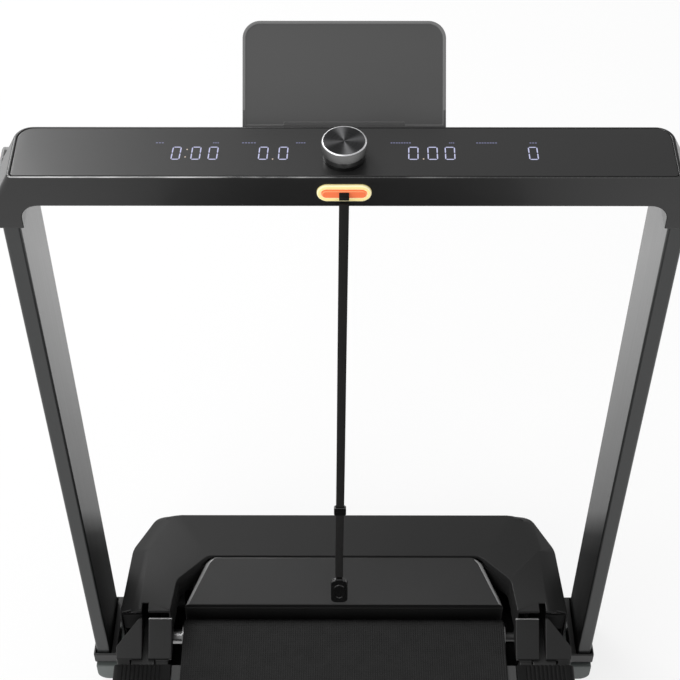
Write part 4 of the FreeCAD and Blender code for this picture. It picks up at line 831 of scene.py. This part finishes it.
# Entry panel
def entry_cover():
    """Sloped panel out to the sides of the hood's mouth, with rounded flanks and a lip towards the belt."""
    near, far = 0.577, 0.636
    low, high = 0.140, 0.168
    foot = 0.131
    near_half, far_half = 0.220, 0.1915
    side_half, side_y = 0.2276, 0.597
    mouth_half = 0.1874
    near_round, far_round = 0.0075, 0.012
    stations = 24
    turns = 8
    shape = bmesh.new()
    rings = []
    for i in range(stations + 1):
        share = i / stations
        y = near + (far - near) * share
        top = low + (high - low) * share
        taper = near_half + (far_half - near_half) * share
        mouth = side_half + (mouth_half - side_half) * (y - side_y) / (far - side_y)
        half = min(taper, mouth)
        rounding = near_round + (far_round - near_round) * share
        flank = []
        for j in range(turns + 1):
            angle = math.pi / 2 * j / turns
            flank.append((
                half - rounding * (1 - math.sin(angle)), top - rounding * (1 - math.cos(angle))))
        flank.append((half, foot))
        section = [(-x, z) for x, z in reversed(flank)] + flank
        rings.append([shape.verts.new((x, y, z)) for x, z in section])
    loft(shape, rings)
    lip_low = 0.094
    lip_wall = 0.003
    box(shape, (-near_half, near, lip_low), (near_half, near + lip_wall, foot))
    outward(shape)
    break_edges(shape, 0.0008)
    weighted(piece(
        "belt_entry_cover", close_up(shape, "belt_entry_cover"), "base", finishes["panel_plastic"],
        ["belt_entry_panel"]))


entry_cover()


# Safety key
def key_plug():
    """Round-ended plug of the key, and the fold of strap from its face out to the lanyard's pin."""
    half = 0.022
    radius = 0.0045
    face_y, back_y = 0.5395, 0.5482
    steps = 16
    ring = []
    for centre, start in ((half - radius, -math.pi / 2), (radius - half, math.pi / 2)):
        for i in range(steps + 1):
            angle = start + math.pi * i / steps
            ring.append((centre + radius * math.cos(angle), lanyard_pin.z + radius * math.sin(angle)))
    shape = bmesh.new()
    loft(shape, [[shape.verts.new((x, y, z)) for x, z in ring] for y in (face_y, back_y)])
    outward(shape)
    break_edges(shape, 0.0008, 60.0)
    body = nodes["safety_key"]["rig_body"]
    weighted(piece(
        "safety_key_plug", close_up(shape, "safety_key_plug"), body, finishes["key_orange"],
        ["safety_key"]))
    fold = bmesh.new()
    root = 0.003
    rise = 0.0024
    line = [
        Vector((0, face_y + root, lanyard_pin.z + rise)), Vector((0, face_y, lanyard_pin.z + rise)),
        Vector((0, face_y - root, lanyard_pin.z + rise / 2)), lanyard_pin + Vector((0, 0.001, 0)),
    ]
    strip(fold, line, [Vector((0, 0, 1))] * len(line))
    woven("lanyard_tab", fold, body)


key_plug()


# Second finishes
def second_finish(name, finish, chosen):
    """Another finish on the faces of a piece that a test picks by their middle and normal."""
    mesh = bpy.data.objects[name].data
    mesh.materials.append(finish)
    for face in mesh.polygons:
        if chosen(face.center, face.normal):
            face.material_index = len(mesh.materials) - 1


def inside_hood():
    """Test for the faces in the hood's hollow and on the ends of its legs, which take painted shade."""
    span = 0.085
    lift = 0.0005
    leg_half = 0.296
    leg_front = 0.55
    mesh = bpy.data.objects["motor_hood_skin"].data
    tree = BVHTree.FromPolygons([v.co for v in mesh.vertices], [tuple(p.vertices) for p in mesh.polygons])

    def chosen(middle, normal):
        if normal.z < -0.35:
            return True
        if normal.y < -0.5 and abs(middle.x) > leg_half and middle.y < leg_front:
            return True
        return tree.ray_cast(middle + normal * lift, normal, span)[0] is not None

    return chosen


def on_lip(middle, normal):
    """The entry panel's lip towards the belt, which takes painted shade."""
    lip_top = 0.1385
    return middle.z < lip_top


def on_flank(middle, normal):
    """The rounded flanks of the entry panel, short of its far end, which take a painted highlight."""
    far_end = 0.634
    return middle.y < far_end and 0.24 < abs(normal.x) < 0.75 and normal.z > 0.4


def on_bar_edge(middle, normal):
    """The upper edge of the bar towards the user, which takes a painted highlight."""
    front = 0.5445
    low = 0.9655
    return middle.y < front and middle.z > low and normal.y < -0.2 and normal.z > 0.2


def on_block_edge(middle, normal):
    """The upper far edge of the rails' end blocks, which takes a painted highlight."""
    near = 0.5425
    low = 0.15
    return middle.y > near and middle.z > low and normal.y > -0.5 and normal.z > 0.3


# Painted shade on the entry panel's lip.
second_finish("belt_entry_cover", lip_shade_finish, on_lip)
# Painted highlight on the entry panel's flanks.
second_finish("belt_entry_cover", flank_painted_highlight, on_flank)
# Painted shade in the hood's hollow and on its leg ends.
second_finish("motor_hood_skin", hollow_shade_finish, inside_hood())
# Painted shade low down on the uprights' inner faces.
second_finish("upright_left_skin", inside_upright, lambda middle, normal: normal.x > 0.7)
second_finish("upright_right_skin", inside_upright, lambda middle, normal: normal.x < -0.7)
# Painted highlight on the bar's upper front edge.
second_finish("handlebar_shell_skin", bar_painted_highlight, on_bar_edge)
# Painted highlight on the end blocks' far top edges.
second_finish("rail_end_blocks_skin", block_painted_highlight, on_block_edge)


# Tablet plate
def tablet_plate():
    """The leaning plate with square lower corners, its ledge low so that it runs down behind the bar."""
    pin = Vector((0.0, 0.6286, 0.945))
    lean = math.radians(42.0)
    along = Vector((0.0, math.cos(lean), math.sin(lean)))
    out = Vector((0.0, -math.sin(lean), math.cos(lean)))
    half = 0.1037
    corner = 0.018
    foot = 0.008
    face = 0.005
    rim_step = 0.0007
    near = 0.0002
    shape = joined_mesh("tablet_rest")
    for vert in shape.verts:
        u = (vert.co - pin).dot(along)
        w = (vert.co - pin).dot(out)
        x = vert.co.x
        if w > face + near:
            vert.co -= out * (w - face + rim_step)
            continue
        beside = abs(x) - (half - corner)
        below = foot + corner - u
        if beside > 0.0 and below > 0.0:
            radius = math.hypot(beside, below)
            grow = radius / max(beside, below)
            vert.co.x += math.copysign(beside * (grow - 1), x)
            vert.co -= along * below * (grow - 1)
    break_edges(shape, 0.0003)
    mark = shape.faces.layers.float["edge"]
    for side in shape.faces:
        middle = side.calc_center_median() - pin
        on_rim = side.normal.dot(out) > 0.99 and abs(middle.dot(out) - face) < near
        if on_rim and middle.dot(along) > foot + corner:
            side[mark] = 1.0
    weighted(piece(
        "tablet_rest_plate", close_up(shape, "tablet_rest_plate"), "tablet_rest", finishes["rest_plastic"],
        ["tablet_rest"]))


tablet_plate()


# Clip
def clip_rim():
    """Raised oval rim on the front of the lanyard's clip."""
    middle = Vector((-0.006, 0.5284, 0.2487))
    wide = 0.0072
    tall = 0.0150
    tube = 0.0013
    steps = 56
    turns = 10
    shape = bmesh.new()
    rings = []
    for i in range(steps):
        angle = 2 * math.pi * i / steps
        spot = middle + Vector((wide * math.cos(angle), 0, tall * math.sin(angle)))
        away = Vector((tall * math.cos(angle), 0, wide * math.sin(angle))).normalized()
        ring = []
        for j in range(turns):
            turn = 2 * math.pi * j / turns
            rise = Vector((0, -math.sin(turn), 0))
            ring.append(shape.verts.new(spot + (away * math.cos(turn) + rise) * tube))
        rings.append(ring)
    loft(shape, rings, looped=True)
    outward(shape)
    piece(
        "lanyard_clip_rim", close_up(shape, "lanyard_clip_rim"), "lanyard", finishes["clip_plastic"])


clip_rim()


# Knob
def turned(name, profile, centre):
    """Closed form of revolution from points of (radius, height, how much of an edge starts there)."""
    steps = 96
    shape = bmesh.new()
    mark = shape.faces.layers.float.new("edge")
    rings = []
    for radius, height, _ in profile:
        ring = []
        for i in range(steps):
            angle = 2 * math.pi * i / steps
            ring.append(shape.verts.new((
                centre[0] + radius * math.cos(angle), centre[1] + radius * math.sin(angle), height)))
        rings.append(ring)
    for n, face in enumerate(loft(shape, rings, looped=True)):
        face[mark] = profile[n // steps][2]
    outward(shape)
    return close_up(shape, name, 28.0)


knob_base = 0.9712
knob_seat = 0.9776
knob_top = 0.9892
skirt_profile = [
    (0.0196, knob_base, 0), (0.0208, knob_base, 0), (0.0213, knob_base + 0.0005, 0),
    (0.0213, knob_seat + 0.0004, 0), (0.0196, knob_seat + 0.0004, 0),
]
cap_profile = [
    (0.0205, knob_seat, 0), (0.0219, knob_seat, 1), (0.0225, knob_seat + 0.0006, 0.04),
    (0.0225, knob_top - 0.0014, 0), (0.0222, knob_top - 0.0008, 1), (0.0214, knob_top - 0.0001, 1),
    (0.0209, knob_top, 1), (0.0207, knob_top - 0.0002, 0), (0.0150, knob_top - 0.0003, 0),
    (0.0080, knob_top - 0.0004, 0), (0.0002, knob_top - 0.00045, 0), (0.0002, knob_top - 0.003, 0),
    (0.0205, knob_top - 0.003, 0),
]
piece(
    "speed_knob_cap", turned("speed_knob_cap", cap_profile, knob_middle), "speed_knob",
    finishes["knob_metal"], ["speed_knob"])
piece(
    "speed_knob_skirt", turned("speed_knob_skirt", skirt_profile, knob_middle), "speed_knob",
    skirt_finish)


# Display
def plates(name, outlines, low, high, finish, body):
    """Thin flat plates on a level surface, from lists of (x, y) corners in metres."""
    shape = bmesh.new()
    for corners in outlines:
        loft(shape, [[shape.verts.new((x, y, z)) for x, y in corners] for z in (low, high)])
    outward(shape)
    piece(name, close_up(shape, name), body, finish)


def zero(x, y, slant, wide):
    """Six bars of a lit nought with its lower left corner at x, y."""
    tall = 0.0178
    bar = 0.00115
    gap = 0.0004
    mid = tall / 2

    def bar_along(a, b):
        (ax, ay), (bx, by) = a, b
        heading = Vector((bx - ax, by - ay)).normalized()
        side = Vector((-heading.y, heading.x)) * bar / 2
        start = Vector(a) + heading * gap
        stop = Vector(b) - heading * gap
        tip = heading * bar * 0.8
        ring = [start, start + tip + side, stop - tip + side, stop, stop - tip - side, start + tip - side]
        return [(x + p.x + slant * p.y, y + p.y) for p in reversed(ring)]

    corners = [(0, 0), (wide, 0), (wide, mid), (wide, tall), (0, tall), (0, mid)]
    return [bar_along(corners[i], corners[(i + 1) % 6]) for i in range(6)]


def dot(x, y, size=0.0013):
    """Square point of the display."""
    h = size / 2
    return [(x - h, y - h), (x + h, y - h), (x + h, y + h), (x - h, y + h)]


def display():
    """Lit noughts of the four readings and a row of ticks where each reading is headed."""
    row = 0.5692
    marks = []
    for x, slant, wide in (
        (-0.1712, 0.077, 0.0079), (-0.1516, 0.052, 0.0084), (-0.1346, 0.055, 0.0084),
        (-0.0848, 0.048, 0.0084), (-0.0650, 0.040, 0.0084), (0.0638, 0.022, 0.0091),
        (0.0831, 0.002, 0.0091), (0.1003, 0.004, 0.0091), (0.1834, -0.024, 0.0084),
    ):
        marks += zero(x, row, slant, wide)
    level = 0.9670
    sunk = level - 0.0002
    proud = level + 0.00012
    plates("display_digits", marks, sunk, proud, digit_finish, "handrail")
    points = [dot(-0.1573, 0.5725), dot(-0.1560, 0.5836), dot(-0.0707, 0.5695), dot(0.0784, 0.5698)]
    plates("display_points", points, sunk, proud, point_finish, "handrail")
    low, high = 0.5928, 0.5942
    tick_pitch = 0.0027
    tick_share = 0.68
    ticks = []
    for left, right in (
        (-0.1878, -0.1791), (-0.1308, -0.1243), (-0.1019, -0.0872), (-0.0480, -0.0379), (0.0463, 0.0672),
        (0.1045, 0.1103), (0.1317, 0.1531), (0.1848, 0.1927),
    ):
        count = max(3, round((right - left) / tick_pitch))
        pitch = (right - left) / count
        for i in range(count):
            x = left + pitch * i
            end = x + pitch * tick_share
            ticks.append([(x, low), (end, low), (end, high), (x, high)])
    plates("display_headings", ticks, sunk, level + 0.0001, label_finish, "handrail")


display()


# Belt over the fold
def belt_bridge():
    """Strip of the belt's upper run that bends where the deck folds."""
    shape = bmesh.new()
    near = -0.1135
    far = -0.1265
    low, high = 0.12255, 0.12495
    steps = 26
    half = 0.2200
    section = ((-half, low), (half, low), (half, high), (-half, high))
    rings = []
    for i in range(steps + 1):
        y = near + (far - near) * i / steps
        rings.append([shape.verts.new((x, y, z)) for x, z in section])
    loft(shape, rings)
    outward(shape)
    mesh = close_up(shape, "belt_bridge")
    made = bpy.data.objects.new("belt_bridge", mesh)
    scene.collection.objects.link(made)
    mesh.materials.append(finishes["belt_rubber"])
    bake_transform(made, "base", "rear_deck", start=(0, -0.1145, 0.1237), end=(0, -0.1255, 0.1237))


belt_bridge()


# Fasteners
class Tree:
    """Geometry Nodes tree under construction."""

    def __init__(self, name, inputs):
        self.group = bpy.data.node_groups.new(name, "GeometryNodeTree")
        face = self.group.interface
        face.new_socket("Geometry", in_out="INPUT", socket_type="NodeSocketGeometry")
        self.keys = {}
        for label, kind in inputs.items():
            self.keys[label] = face.new_socket(label, in_out="INPUT", socket_type=kind).identifier
        face.new_socket("Geometry", in_out="OUTPUT", socket_type="NodeSocketGeometry")
        self.entry = self.group.nodes.new("NodeGroupInput")
        self.exit = self.group.nodes.new("NodeGroupOutput")

    def given(self, label):
        return self.entry.outputs[label]

    def node(self, kind, settings=None, sockets=None, out=0):
        made = self.group.nodes.new(kind)
        for name, value in (settings or {}).items():
            setattr(made, name, value)
        for key, value in (sockets or {}).items():
            if isinstance(value, bpy.types.NodeSocket):
                self.group.links.new(value, made.inputs[key])
            else:
                made.inputs[key].default_value = value
        return made.outputs[out]

    def maths(self, operation, *values):
        return self.node("ShaderNodeMath", {"operation": operation}, dict(enumerate(values)))


def fastener_tree():
    """Tree that sets a hex-socket screw head on every point, along the point's axis."""
    tree = Tree("screw_heads", {
        "Radius": "NodeSocketFloat", "Height": "NodeSocketFloat", "Metal": "NodeSocketMaterial"})
    radius = tree.given("Radius")
    height = tree.given("Height")
    head = tree.node("GeometryNodeMeshCone", None, {
        "Vertices": 20, "Radius Top": tree.maths("MULTIPLY", radius, 0.84), "Radius Bottom": radius,
        "Depth": height}, "Mesh")
    hexagon = tree.node("GeometryNodeMeshCylinder", None, {
        "Vertices": 6, "Radius": tree.maths("MULTIPLY", radius, 0.5), "Depth": height}, "Mesh")
    lift = tree.node("ShaderNodeCombineXYZ", None, {"Z": tree.maths("MULTIPLY", height, 0.95)})
    socket = tree.node("GeometryNodeTransform", None, {"Geometry": hexagon, "Translation": lift})
    screw = tree.node("GeometryNodeMeshBoolean", {"operation": "DIFFERENCE"}, {0: head, 1: socket})
    axis = tree.node(
        "GeometryNodeInputNamedAttribute", {"data_type": "FLOAT_VECTOR"}, {"Name": "axis"}, "Attribute")
    turn = tree.node("FunctionNodeAlignRotationToVector", {"axis": "Z"}, {"Vector": axis})
    spread = tree.node("GeometryNodeInstanceOnPoints", None, {
        "Points": tree.given("Geometry"), "Instance": screw, "Rotation": turn})
    solid = tree.node("GeometryNodeRealizeInstances", None, {"Geometry": spread})
    coated = tree.node("GeometryNodeSetMaterial", None, {
        "Geometry": solid, "Material": tree.given("Metal")})
    tree.group.links.new(coated, tree.exit.inputs["Geometry"])
    return tree


screw_tree = fastener_tree()


def screws(name, body, radius, height, places):
    """Screw heads of one size on a body, from (x, y, z) in millimetres and an axis."""
    stand = 0.42
    mesh = bpy.data.meshes.new(name)
    axes = []
    points = []
    for spot, axis in places:
        points.append(Vector(spot) * MM + Vector(axis) * height * stand)
        axes.append(axis)
    mesh.from_pydata(points, [], [])
    layer = mesh.attributes.new("axis", "FLOAT_VECTOR", "POINT")
    for row, axis in zip(layer.data, axes):
        row.vector = axis
    holder = bpy.data.objects.new(name + "_points", mesh)
    scene.collection.objects.link(holder)
    maker = holder.modifiers.new("screw_heads", "NODES")
    maker.node_group = screw_tree.group
    maker[screw_tree.keys["Radius"]] = radius
    maker[screw_tree.keys["Height"]] = height
    maker[screw_tree.keys["Metal"]] = screw_finish
    holder.update_tag()
    depsgraph = bpy.context.evaluated_depsgraph_get()
    heads = bpy.data.meshes.new_from_object(holder.evaluated_get(depsgraph))
    bpy.data.objects.remove(holder)
    shape = bmesh.new()
    shape.from_mesh(heads)
    bpy.data.meshes.remove(heads)
    piece(name, close_up(shape, name, 25.0), body, screw_finish)


def either_side(x, y, z, axis):
    """The same place on both sides of the pad."""
    return [((x, y, z), axis), ((-x, y, z), (-axis[0], axis[1], axis[2]))]


up = (0.0, 0.0, 1.0)
below = (0.0, 0.0, -1.0)
ahead = (0.0, 1.0, 0.0)
screws(
    "hinge_screws_front", "base", 0.0042, 0.0018,
    either_side(252, -88, 129, up) + either_side(272, -88, 129, up) + either_side(292, -88, 129, up))
screws(
    "hinge_screws_rear", "rear_deck", 0.0042, 0.0018,
    either_side(272, -141, 129, up) + either_side(272, -156, 129, up))
screws(
    "inlet_screws", "base", 0.0017, 0.0008, [((122.4, 714, 84), ahead), ((178.9, 714, 84), ahead)])
screws(
    "tray_screws", "base", 0.0040, 0.0016,
    either_side(236, 596, 18, below) + either_side(236, 686, 18, below) + either_side(80, 596, 18, below)
    + either_side(80, 700, 18, below))
screws(
    "foot_bolts", "base", 0.0055, 0.0030,
    either_side(268, 558, 20, below) + either_side(268, 584, 20, below))
screws(
    "bar_screws", "handrail", 0.0034, 0.0012,
    either_side(270, 580, 928, below) + either_side(110, 580, 928, below)
    + either_side(336, 645, 906, ahead))
screws("cap_screws", "rear_deck", 0.0040, 0.0016, either_side(272, -688, 34, below))


# Inlet contacts
def contacts():
    """Three blades of the mains inlet, chamfered at their tips."""
    shape = bmesh.new()
    root, tip = 0.6987, 0.7113
    wide, tall = 0.002, 0.004
    for x, z in ((0.132, 0.0815), (0.146, 0.0815), (0.139, 0.0865)):
        box(shape, (x - wide / 2, root, z - tall / 2), (x + wide / 2, tip, z + tall / 2))
    tips = [e for e in shape.edges if all(v.co.y > (root + tip) / 2 for v in e.verts)]
    bmesh.ops.bevel(shape, geom=tips, offset=0.0007, segments=2, profile=0.5, affect="EDGES")
    piece("inlet_contacts", close_up(shape, "inlet_contacts"), "base", pin_finish)


contacts()


# Floor, world and lamps
def backdrop():
    """Pale floor that shows white to the camera and keeps the object's shadow."""
    mesh = bpy.data.meshes.new("floor")
    reach = 9.0
    own_light = 0.8
    mesh.from_pydata(
        [(-reach, -reach, 0), (reach, -reach, 0), (reach, reach, 0), (-reach, reach, 0)], [], [(0, 1, 2, 3)])
    floor = bpy.data.objects.new("floor", mesh)
    scene.collection.objects.link(floor)
    f = Finish("floor_white")
    path = f.node("ShaderNodeLightPath", out="Is Camera Ray")
    glossy = path.beside("Is Glossy Ray")
    seen = path.through("MAXIMUM", glossy.through("MAXIMUM", path.beside("Is Transmission Ray")))
    paper = f.node("ShaderNodeBsdfDiffuse", None, {"Color": grey(250)})
    white = f.node("ShaderNodeEmission", None, {"Color": (1, 1, 1, 1), "Strength": 1.0})
    mixed = f.node("ShaderNodeMixShader", None, {0: seen * own_light, 1: paper, 2: white})
    f.node("ShaderNodeOutputMaterial", None, {"Surface": mixed})
    mesh.materials.append(f.material)


def studio():
    """White surroundings for the camera and for gloss, softer for everything else."""
    world = bpy.data.worlds.new("studio")
    world.use_nodes = True
    scene.world = world
    f = Finish("studio", world.node_tree)
    path = f.node("ShaderNodeLightPath", out="Is Camera Ray")
    way = f.node("ShaderNodeTexCoord", out="Generated")
    rise = f.node("ShaderNodeSeparateXYZ", None, {0: way}, "Z")
    wall = path.beside("Is Glossy Ray") * f.ramp(rise, (0.04, 1.0), (0.36, 0.0))
    seen = path.through("MAXIMUM", wall.through("MAXIMUM", path.beside("Is Transmission Ray")))
    ceiling = f.ramp(rise, (0.12, 1.0), (0.5, 0.8))
    flank = f.ramp(rise.beside("X") * 0.5 + 0.5, (0.36, 1.0), (0.62, 0.5))
    room = f.node("ShaderNodeBackground", None, {"Color": grey(255), "Strength": ceiling * flank})
    white = f.node("ShaderNodeBackground", None, {"Color": (1, 1, 1, 1), "Strength": 1.0})
    mixed = f.node("ShaderNodeMixShader", None, {0: seen, 1: room, 2: white})
    f.node("ShaderNodeOutputWorld", None, {"Surface": mixed})


def softbox(name, place, aim, width, height, power):
    """Area lamp turned towards a point."""
    data = bpy.data.lights.new(name, "AREA")
    data.shape = "RECTANGLE"
    data.size = width
    data.size_y = height
    data.energy = power
    lamp = bpy.data.objects.new(name, data)
    scene.collection.objects.link(lamp)
    lamp.location = place
    lamp.rotation_euler = (Vector(aim) - Vector(place)).to_track_quat("-Z", "Y").to_euler()


backdrop()
studio()
softbox("key_lamp", (-1.7, 2.6, 2.9), (-0.1, 0.5, 0.6), 1.6, 1.2, 46.0)
softbox("fill_lamp", (-2.0, -1.7, 2.3), (0.0, 0.3, 0.4), 1.6, 1.6, 26.0)
softbox("top_lamp", (-0.45, 0.55, 3.1), (-0.3, 0.55, 0.9), 0.9, 0.5, 9.0)
